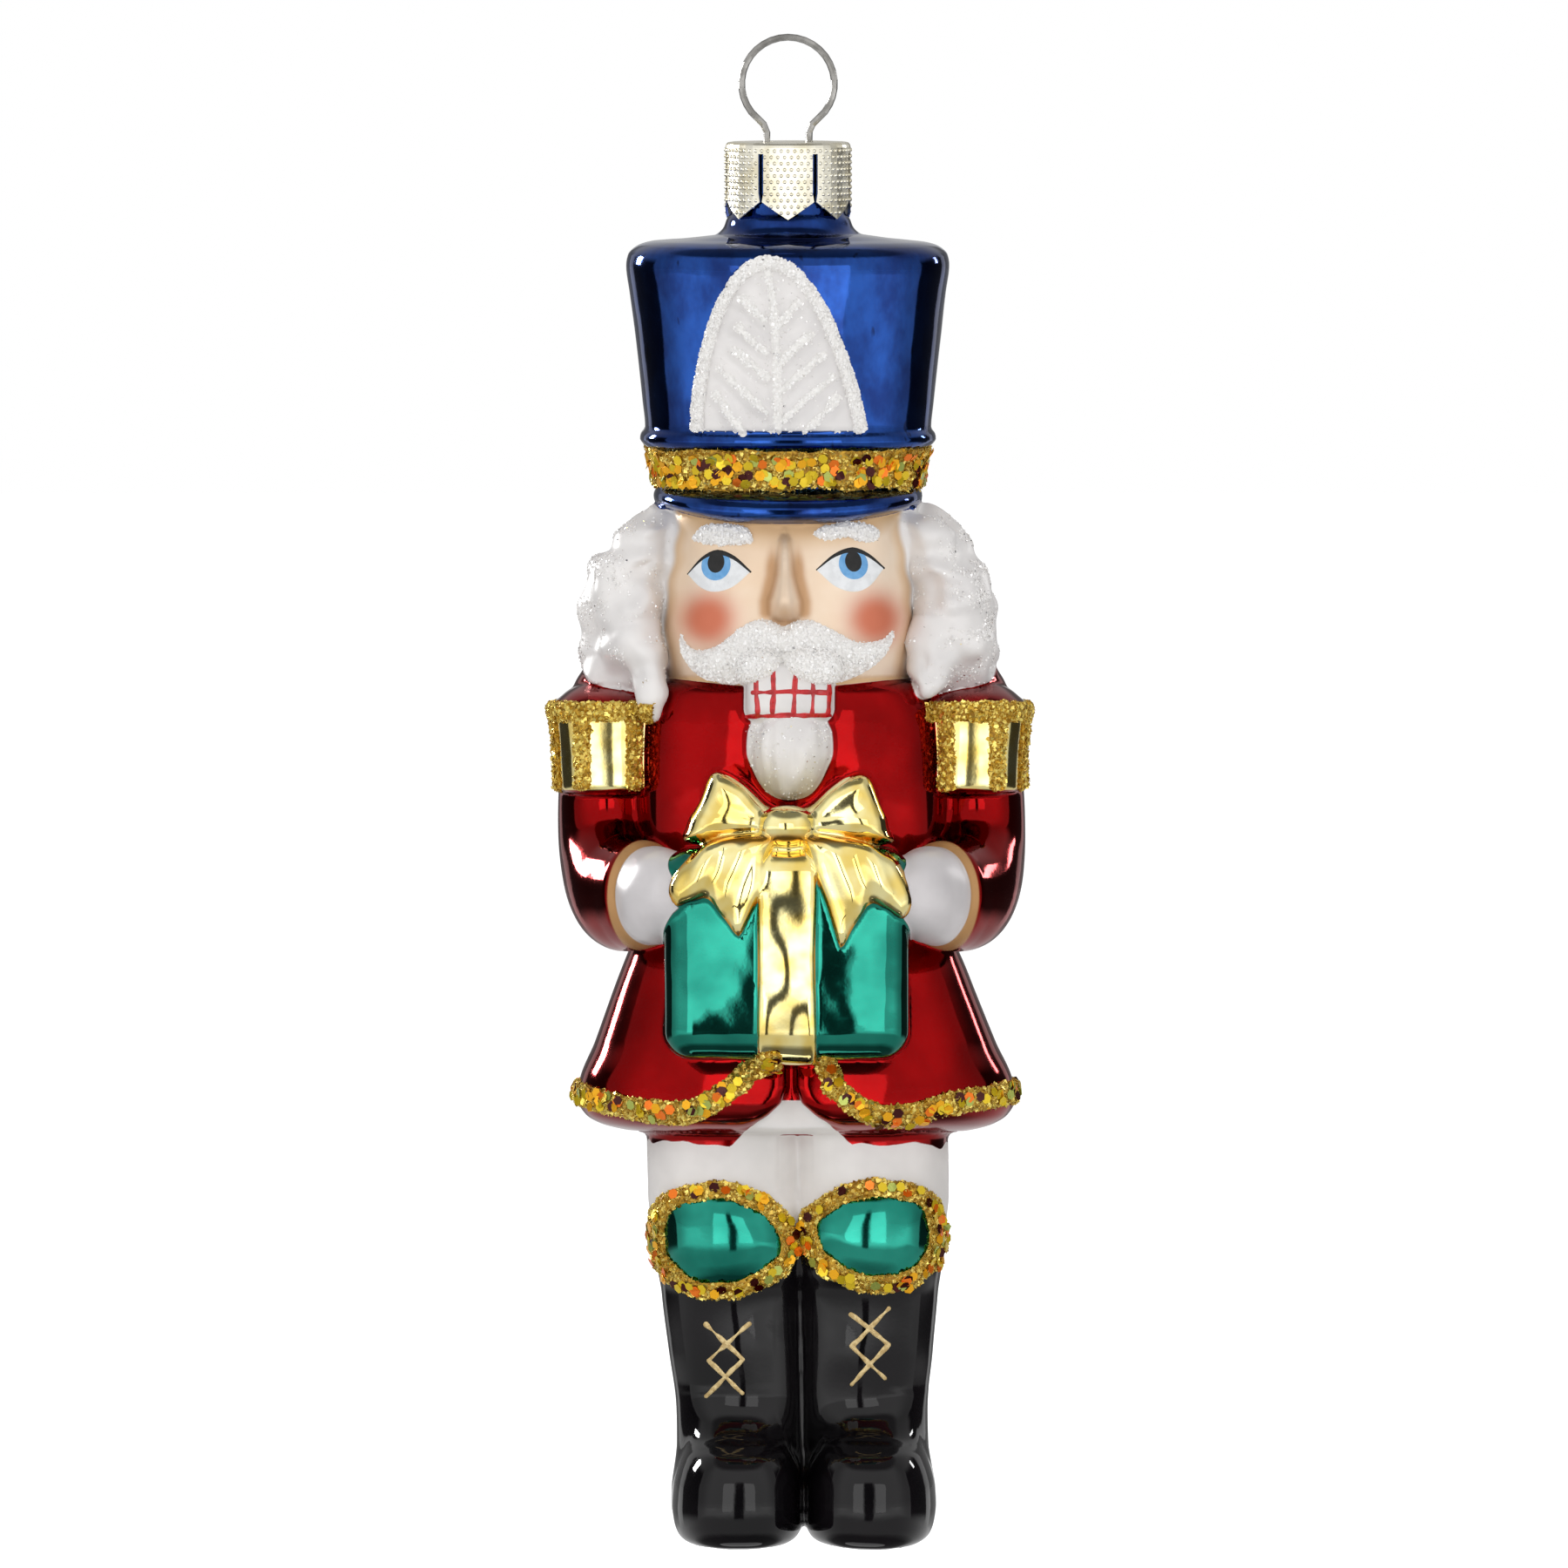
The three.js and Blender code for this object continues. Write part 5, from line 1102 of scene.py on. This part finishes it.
def glitter(name, node, mask, thick, width, colour, seed, density, sequins=0.0, size=(0.13, 0.24), levels=1):
    """A domed bed of glue on the glass with flakes, and sequins where asked."""
    random = np.random.default_rng(seed)
    body, faces, top_count, values, ups = overlay(mask, dome(thick, width), levels)
    top = faces[:top_count]
    inside = values[top].mean(axis=1)
    glue, foil, tilt = (gold_glue, gold_foil, 0.5) if colour == "gold" else (white_glue, white_flake, 0.3)
    bed = body, top, ups
    flecks = (0.0, 0.08), size, tilt, 0.035, CHIP, random
    parts = [(body, faces, np.zeros(len(body))), strewn(*bed, ramp(inside, -0.15, 0.1), density, *flecks)]
    if sequins:
        discs = (0.2, 0.3), (0.5, 0.58), 0.2, 0.05, HEXAGON, random
        parts.append(strewn(*bed, ramp(inside, 0.25, 0.45), sequins, *discs))
    places, cells, grains = zip(*parts)
    starts = np.cumsum([0, *[len(p) for p in places[:-1]]])
    counts = [len(c) for c in cells]
    piece = build(
        name, np.vstack(places), np.vstack([c + start for c, start in zip(cells, starts)]),
        [glue, foil, sequin_foil][:len(parts)], np.repeat(np.arange(len(parts)), counts),
        np.repeat([True, False, False][:len(parts)], counts), {"grain": np.concatenate(grains)},
    )
    return on_figure(piece, node, slot=f"{colour}_glitter")


def band_mask(p):
    band = np.minimum(p[:, 2] - BAND_FOOT, BAND_TOP - p[:, 2]) + 0.12 * waves(p, 3, 21)
    return np.minimum(band, np.hypot(p[:, 0], p[:, 1]) - 8)


def plume_border_mask(p):
    return np.minimum(plume_mask(p, 0) + 0.05 * waves(p, 1.5, 22), -plume_mask(p, 1.25))


BROWS = {
    -1: ((-9.4, 100.6), (-8.9, 101.5), (-7.7, 102), (-6, 102.1), (-4.4, 101.8), (-3.7, 101), (-3.8, 100.2),
         (-5.9, 100.05), (-8, 100.1)),
    1: ((2.7, 100.9), (3.4, 101.8), (5.4, 102.4), (7.5, 102.3), (8.7, 101.6), (9.1, 100.6), (7.8, 100.4),
        (6, 100.8), (4.2, 100.6)),
}


def brow_mask(side):
    outline = rounded(BROWS[side])
    return lambda p: front_gate(p, 0.06 * waves(p, 1.4, 24) + into(p, outline))


MOUSTACHE = rounded([
    (-0.5, 91.8), (-2.4, 92.5), (-4.6, 91.7), (-6.6, 90.1), (-8.6, 89.4), (-9.9, 90), (-10.4, 91),
    (-10.1, 89), (-8.7, 87.1), (-6.3, 86.2), (-3.6, 86.3), (-1.6, 87.2), (-0.6, 88.2),
    (0.4, 87.2), (2.2, 86.3), (4.6, 86.3), (7.2, 87.3), (9.2, 89), (10.2, 91.4),
    (9.3, 90.6), (7, 90.2), (4.8, 91.2), (2.6, 92.3), (0.9, 92.3),
], 120)


def moustache_mask(p):
    return front_gate(p, into(p, MOUSTACHE))


HEM_LINES = (
    ((-25, 45.2), (-20.8, 44.9), (-18.6, 44.3), (-14.2, 43.4), (-10.4, 43.2), (-8.4, 43.8), (-5.8, 45.5),
     (-4, 47.2), (-1.7, 48.5)),
    ((3.8, 47.9), (4.6, 45.9), (6.1, 44.4), (8.1, 43.2), (10.5, 42.8), (13.4, 43.2), (16.3, 44.1),
     (19.2, 44.6), (22.1, 45.1), (26, 45.2)),
)


def hem_mask(p):
    """The hem's two drooping lines in front, and one level line behind."""
    half = 1.05
    front = half - off_lines(p, HEM_LINES)
    back = half - np.abs(p[:, 2] - (HEM + 4.2))
    value = np.where(p[:, 1] < -1.5, front, back)
    return np.minimum(value + 0.06 * waves(p, 1.8, 25), 3 * (49.2 - p[:, 2]))


def knee_ring_mask(side):
    def mask(p):
        ring = 0.85 - np.abs(into(p, KNEES[side]) + 0.75) + 0.08 * waves(p, 2.2, 26)
        return front_gate(p, np.minimum(ring, side * (p[:, 0] - lean(KNEE)) - 0.05))
    return mask


def fringe_mask(side):
    """Strips of glitter down the epaulette board's wall, joined by a band round its top."""
    wall_r, pitch, half_strip = 5.6, 3.64, 0.57

    def mask(p):
        out, z = side * (p[:, 0] - board_x(side)), p[:, 2]
        place = np.arctan2(p[:, 1], out) * wall_r / pitch
        strip = half_strip - np.abs((place + 0.5) % 1 - 0.5) * pitch
        band = 0.9 - np.abs(z - (BOARD_TOP - 0.7))
        wall = np.minimum(z - (BOARD_TOP - 8.4), BOARD_TOP + 0.2 - z)
        shape = np.minimum(np.maximum(strip, band), wall) + 0.05 * waves(p, 1.6, 27)
        return np.minimum(shape, np.minimum(out + 4.9, 2 - np.abs(z - BOARD_TOP + 4) + 3))
    return mask


glitter("hat_glitter_band", "hat_band", band_mask, 0.4, 0.5, "gold", 31, 17, 1.5)
glitter("plume_glitter_border", "plume_border", plume_border_mask, 0.6, 0.6, "white", 32, 26,
        size=(0.09, 0.15))
glitter("plume_glitter_barbs", "plume_barbs", barb_mask, 0.22, 0.3, "white", 33, 14, size=(0.08, 0.14),
        levels=2)
glitter("moustache_glitter", "moustache", moustache_mask, 1.25, 1.7, "white", 34, 26, size=(0.09, 0.16))
glitter("hem_glitter", "hem_trim", hem_mask, 0.45, 0.6, "gold", 35, 17, 1.0)
for side, name in SIDES.items():
    glitter(f"brow_glitter_{name}", f"eyebrow_{name}", brow_mask(side), 0.55, 0.7, "white", 36 + side, 26,
            size=(0.09, 0.15))
    glitter(f"epaulette_glitter_{name}", f"epaulette_trim_{name}", fringe_mask(side), 0.42, 0.45, "gold",
            39 + side, 18)
    glitter(f"knee_glitter_{name}", f"knee_trim_{name}", knee_ring_mask(side), 0.45, 0.6, "gold",
            42 + side, 17, 1.2)


# ---- Fine dusting of white glitter on hair, beard and plume ----


def dusting():
    """Fine white glitter on the curls' outer sides, the beard's corners and the plume's spine."""
    random = np.random.default_rng(51)
    x = base[:, 0]
    hair = share("hair") * ramp(waves(base, 3.2, 52), -0.6, 1.2) * (0.25 + ramp(np.abs(x), 15, 19))
    corners = np.maximum(bump_at(base, -3.6, 81.6, 1.3), bump_at(base, 4, 81.6, 1.3))
    spine = np.exp(-(((x + 0.9) / 2.4) ** 2))
    plume = share("hat") * ramp(plume_mask(base, 1.2), 0, 0.4) * 0.2 * (0.2 + spine)
    weight = np.maximum(np.maximum(hair, share("beard") * (0.15 + corners)), plume)[quads].mean(axis=1)
    made, cells, grain = strewn(
        points, quads, normals, weight, 13, 0.03, (0.07, 0.12), 0.6, 0.03, CHIP, random)
    piece = build("fine_white_dust", made, cells, [dust_flake], smooth=False, values={"grain": grain})
    return on_figure(piece, slot="white_glitter")


dusting()


# ---- Painted marks ----


def painted(name, mask, material, thick=0.03, levels=2):
    body, faces = overlay(mask, film(thick), levels)[:2]
    return on_figure(build(name, body, faces, [material]), slot="lacquered_glass")


def lens(left, right, top, bottom):
    """An eye's upper lid line and whole outline, between its two corners."""
    def arc(start, peak, end, rise):
        before, after = ((mix(p[0], peak[0], 0.5), mix(p[1], peak[1], rise)) for p in (start, end))
        return through([start, before, peak, after, end], 17)

    upper, lower = arc(left, top, right, 0.72), arc(right, bottom, left, 0.75)
    return upper, np.vstack([upper, lower[1:-1]])


# Each eye's inner and outer corners, highest and lowest points, and the iris's middle
EYES = {
    -1: ((-10, 97.1), (-3.75, 97.3), (-7.1, 99.25), (-7.2, 95.3), (-7.15, 98)),
    1: ((2.85, 97.5), (9.55, 97.7), (6.5, 99.5), (6.5, 95.3), (6.5, 98.1)),
}


def disc_mask(centre, across, up, limit):
    """A painted disc, cut off at the eye's outline."""
    def mask(p):
        out = np.hypot((p[:, 0] - centre[0]) / across, (p[:, 2] - centre[1]) / up)
        return front_gate(p, np.minimum((1 - out) * min(across, up), into(p, limit)))
    return mask


def lid_mask(line):
    """A brush line along the upper lid, thin at both ends."""
    def mask(p):
        wide = np.interp(p[:, 0], line[[0, 8, -1], 0], (0.06, 0.3, 0.1))
        return front_gate(p, wide - off_lines(p, [line]))
    return mask


for side, name in SIDES.items():
    *corners, centre = EYES[side]
    lid, shape = lens(*corners)
    painted(f"eye_white_{name}", lambda p, s=shape: front_gate(p, into(p, s)), eye_white, 0.03)
    painted(f"eye_iris_{name}", disc_mask(centre, 1.5, 1.62, shape), eye_blue, 0.045)
    pupil = disc_mask((centre[0], centre[1] + 0.25), 0.88, 1.12, shape)
    painted(f"eye_pupil_{name}", pupil, black_paint, 0.07)
    painted(f"eye_lid_{name}", lid_mask(lid), black_paint, 0.08)


def strokes_mask(lines, width, seed):
    return lambda p: front_gate(p, width / 2 - off_lines(p, lines) + 0.045 * waves(p, 1.4, seed))


TEETH = [
    [(-3.2, 87.4), (-3.15, 85), (-3, 83.1)], [(-1.5, 88), (-1.4, 85), (-1.55, 83.3)],
    [(0.75, 87.8), (0.65, 85), (0.6, 83.2)], [(2.5, 87.2), (2.5, 85), (2.4, 83.1)],
    [(4.1, 87), (4.15, 85), (4.05, 83)],
    [(-3.5, 85.2), (0, 85.3), (4.2, 85.2)], [(-4.1, 82.85), (0, 82.95), (4.3, 82.9)],
]


def dot_spots():
    """Where dots sit on the sheet cap, in staggered rows down its skirt, and which way they face."""
    low, high = (np.array(corner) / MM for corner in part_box("cap"))
    middle = (low + high) / 2
    around = int(2 * math.pi * CAP_R / DOT_PITCH)
    spots, ups = [], []
    for row in range(int((high[2] - low[2] - 0.5) / DOT_STEP)):
        for k in range(around):
            turn = 2 * math.pi * (k + 0.5 * (row % 2)) / around
            out = np.array([math.sin(turn), -math.cos(turn), 0])
            start = np.array([middle[0], middle[1], high[2] - 0.8 - row * DOT_STEP]) + out * 9
            start = Vector(start * MM)
            hit, place, normal, _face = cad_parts["cap"].ray_cast(start, Vector(-out))
            if hit and (place - start).length < 3.1 * MM and Vector(out).dot(normal) > 0.8:
                spots.append(np.array(place) / MM - [0, 0, SOLES])
                ups.append(np.array(normal))
    return np.array(spots), np.array(ups)


painted("teeth_lines", strokes_mask(TEETH, 0.42, 61), red_paint, 0.05)


def laces(left_top, right_top, left_mid, right_mid, left_low, right_low):
    return [[left_top, right_mid], [right_top, left_mid], [left_mid, right_low], [right_mid, left_low]]


LACES = laces((-8.2, 21.8), (-3.9, 21.9), (-8, 18.2), (-4.5, 18.3), (-8.2, 14.6), (-4.6, 14.9))
LACES += laces((6.3, 22.9), (10.1, 23.4), (6.4, 19.6), (10.1, 19.8), (6.4, 15.8), (9.7, 16.4))
painted("boot_laces", strokes_mask(LACES, 0.42, 62), gold_paint, 0.06)


# ---- Cap and wire ----

CAP_R = 6.3
DOT_PITCH = 0.68
DOT_STEP = 0.62
DOT_R = 0.24
DOT_RINGS = ((-0.06, 0.9), (0.05, 0.8), (0.12, 0.45))  # height above the sheet, share of the dot's radius
DOT_TIP = 0.14


def cap_dots():
    """Embossed dots on the sheet cap: low closed domes of three rings and a tip."""
    spots, ups = dot_spots()
    side = unit(np.cross(ups, [0.0, 0, 1]))
    other = np.cross(ups, side)
    sides = 8
    angles = np.arange(sides) * 2 * math.pi / sides
    flat = side[:, None] * np.cos(angles)[None, :, None] + other[:, None] * np.sin(angles)[None, :, None]
    made = [spots[:, None] + flat * DOT_R * wide + ups[:, None] * height for height, wide in DOT_RINGS]
    made += [spots[:, None] + ups[:, None] * height for height in (DOT_TIP, DOT_RINGS[0][0])]
    body = np.concatenate(made, axis=1)
    tip, foot_point = 3 * sides, 3 * sides + 1
    shape = []
    for ring in (0, sides):
        for i, after in zip(range(sides), [*range(1, sides), 0]):
            shape.append([ring + i, ring + after, ring + sides + after, ring + sides + i])
    for i in range(0, sides, 2):
        shape.append([2 * sides + i, 2 * sides + i + 1, 2 * sides + (i + 2) % sides, tip])
    for i in range(0, sides, 2):
        shape.append([(i + 2) % sides, i + 1, i, foot_point])
    cells = repeated(shape, len(spots), body.shape[1])
    dots = build("cap_embossed_dots", body.reshape(-1, 3), cells, [champagne])
    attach(dots, "cap")


cap_dots()

for node, material in (("cap", champagne), ("hanger_wire", steel)):
    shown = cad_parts[node]
    shown.data.materials.clear()
    shown.data.materials.append(material)


# ---- Studio, in metres ----

MIDDLE = Vector((-0.0004, 0, 76.1 * MM + SOLES * MM))
FLOOR_Z = (SOLES - 60) * MM
FLOOR_LIFT = 0.66
WORLD_FILL = 0.55
SCRIM_R = 0.62


def studio_floor():
    """A pale floor that the camera and the mirrors see as white, less the object's soft shadow."""
    corners = [(4 * a, 4 * b, FLOOR_Z) for a, b in ((-1, -1), (1, -1), (1, 1), (-1, 1))]
    floor = stage_mesh("floor", corners, [(0, 1, 2, 3)])
    f = Finish("floor")
    f.set(Base_Color=(0.8, 0.8, 0.8, 1), Roughness=0.9, Specular_IOR_Level=0.0)
    f.set(Emission_Color=(1, 1, 1, 1), Emission_Strength=f.maths("MULTIPLY", f.seen_rays(), FLOOR_LIFT))
    floor.data.materials.append(f.material)


def stage_mesh(name, places, faces):
    mesh = bpy.data.meshes.new(name)
    mesh.from_pydata(places, [], faces)
    made = add_object(name, mesh)
    return made


def scrim_darkness(turn, rise):
    """How dark the scrim is, against degrees round from the camera and degrees up."""
    def bar(low, high, soft=2.0):
        return np.clip((turn - low) / soft, 0, 1) * np.clip((high - turn) / soft, 0, 1)

    level = np.clip((24 - np.abs(rise + 2)) / 4, 0, 1)
    slot = 0.96 * np.clip((3.6 - turn) / 1.2, 0, 1) * level
    sides = 0.5 * ramp(turn, 50, 92)
    flags = np.maximum(0.97 * bar(92, 143, 4), 0.85 * bar(150, 174)) * (1 - 0.55 * ramp(np.abs(rise), 14, 30))
    above, below = 0.8 * ramp(rise, 42, 62), 0.9 * ramp(-rise, 50, 62)
    near_floor = 0.55 * ramp(-rise, 12.6, 24)
    return np.max([slot, sides, flags, above, below, near_floor], axis=0)


def aim(made, place, target):
    """Puts a lamp or the camera in its place and turns it to its target."""
    made.location = place
    made.rotation_mode = "QUATERNION"
    made.rotation_quaternion = (Vector(target) - Vector(place)).to_track_quat("-Z", "Y")


def scrim():
    """A dark gauze tent round the object, seen in its mirrors alone, with windows to the white."""
    turns = np.radians(np.arange(0, 360, 1.2))
    rises = np.radians(np.concatenate([np.arange(-88, -20, 4), np.arange(-20, 20, 1), np.arange(20, 89, 4)]))
    turn, rise = np.meshgrid(turns, rises)
    outward = np.stack([np.sin(turn) * np.cos(rise), -np.cos(turn) * np.cos(rise), np.sin(rise)], axis=2)
    places = (outward * SCRIM_R).reshape(-1, 3) + np.array(MIDDLE)
    places[:, 2] = np.maximum(places[:, 2], FLOOR_Z + 0.002)
    index = np.arange(turn.size).reshape(turn.shape)
    after = np.roll(index, -1, axis=1)
    faces = np.stack([index[:-1], after[:-1], after[1:], index[1:]], axis=2).reshape(-1, 4)
    tent = stage_mesh("scrim", places.tolist(), faces.tolist())
    away = np.degrees(np.minimum(turn, 2 * math.pi - turn)).ravel()
    off = places - np.array(MIDDLE)
    dark = scrim_darkness(away, np.degrees(np.arctan2(off[:, 2], np.hypot(off[:, 0], off[:, 1]))))
    tent.data.attributes.new("dark", "FLOAT", "POINT").data.foreach_set("value", dark.astype(np.float32))
    f = Finish("scrim")
    clear = f.add("ShaderNodeBsdfTransparent").outputs[0]
    f.set(Base_Color=(0, 0, 0, 1), Roughness=1.0, Specular_IOR_Level=0.0)
    blend = f.add("ShaderNodeMixShader", {0: f.value("dark"), 1: clear, 2: f.shader.outputs[0]})
    f.tree.links.new(blend.outputs[0], f.tree.nodes["Material Output"].inputs["Surface"])
    tent.data.materials.append(f.material)
    for kind in ("camera", "diffuse", "shadow", "transmission", "volume_scatter"):
        setattr(tent, f"visible_{kind}", False)


studio_floor()
scrim()


def area_light(name, place, width, height, strength, mirrored=True):
    """A lamp that faces the figure's middle."""
    data = bpy.data.lights.new(name, "AREA")
    data.shape = "RECTANGLE"
    data.size, data.size_y = width, height
    data.energy = strength * width * height * math.pi
    made = add_object(name, data)
    aim(made, place, MIDDLE)
    made.visible_camera = False
    made.visible_glossy = mirrored
    return made


GLINTS = {-1: (0.08, 0.14, 60), 1: (0.04, 0.1, 12)}  # width, height, strength
for side, name in SIDES.items():
    area_light(f"window_{name}", (side * 0.14, -0.585, MIDDLE.z + 0.035), 0.19, 0.33, 1.25)
    glint = area_light(f"glint_{name}", MIDDLE + 0.5 * Vector((side * 0.778, 0.565, 0.276)), *GLINTS[side])
    glint.visible_diffuse = False
    area_light(f"fill_{name}", (side * 0.9, -0.7, MIDDLE.z + 0.35), 0.7, 0.9, 1.35, False)
area_light("top_light", (0, 0.1, MIDDLE.z + 0.9), 0.8, 0.8, 1.2, False)
area_light("back_light", (0.1, 1.2, MIDDLE.z + 0.3), 0.9, 0.9, 1.2, False)


def studio_world():
    """White behind the object and in its mirrors, soft fill elsewhere."""
    world = bpy.data.worlds.new("studio")
    bpy.context.scene.world = world
    world.use_nodes = True
    nodes = Nodes(world.node_tree)
    background = nodes.tree.nodes["Background"].inputs
    limits = {"Value": nodes.seen_rays(), "To Min": WORLD_FILL, "To Max": 1.0}
    nodes.put(background["Color"], (1, 1, 1, 1))
    nodes.put(background["Strength"], nodes.add("ShaderNodeMapRange", limits).outputs[0])


studio_world()

VIEW_MM = 157.5
DISTANCE = 2.0
SENSOR_MM = 36
camera_data = bpy.data.cameras.new("camera")
camera_data.sensor_width = SENSOR_MM
camera_data.lens = SENSOR_MM * DISTANCE / (VIEW_MM * MM)
camera_data.clip_start, camera_data.clip_end = 0.1, 20
camera = add_object("camera", camera_data)
aim(camera, MIDDLE + Vector((0, -math.cos(CAMERA_TILT), math.sin(CAMERA_TILT))) * DISTANCE, MIDDLE)
bpy.context.scene.camera = camera
bpy.context.scene.view_settings.view_transform = "Standard"
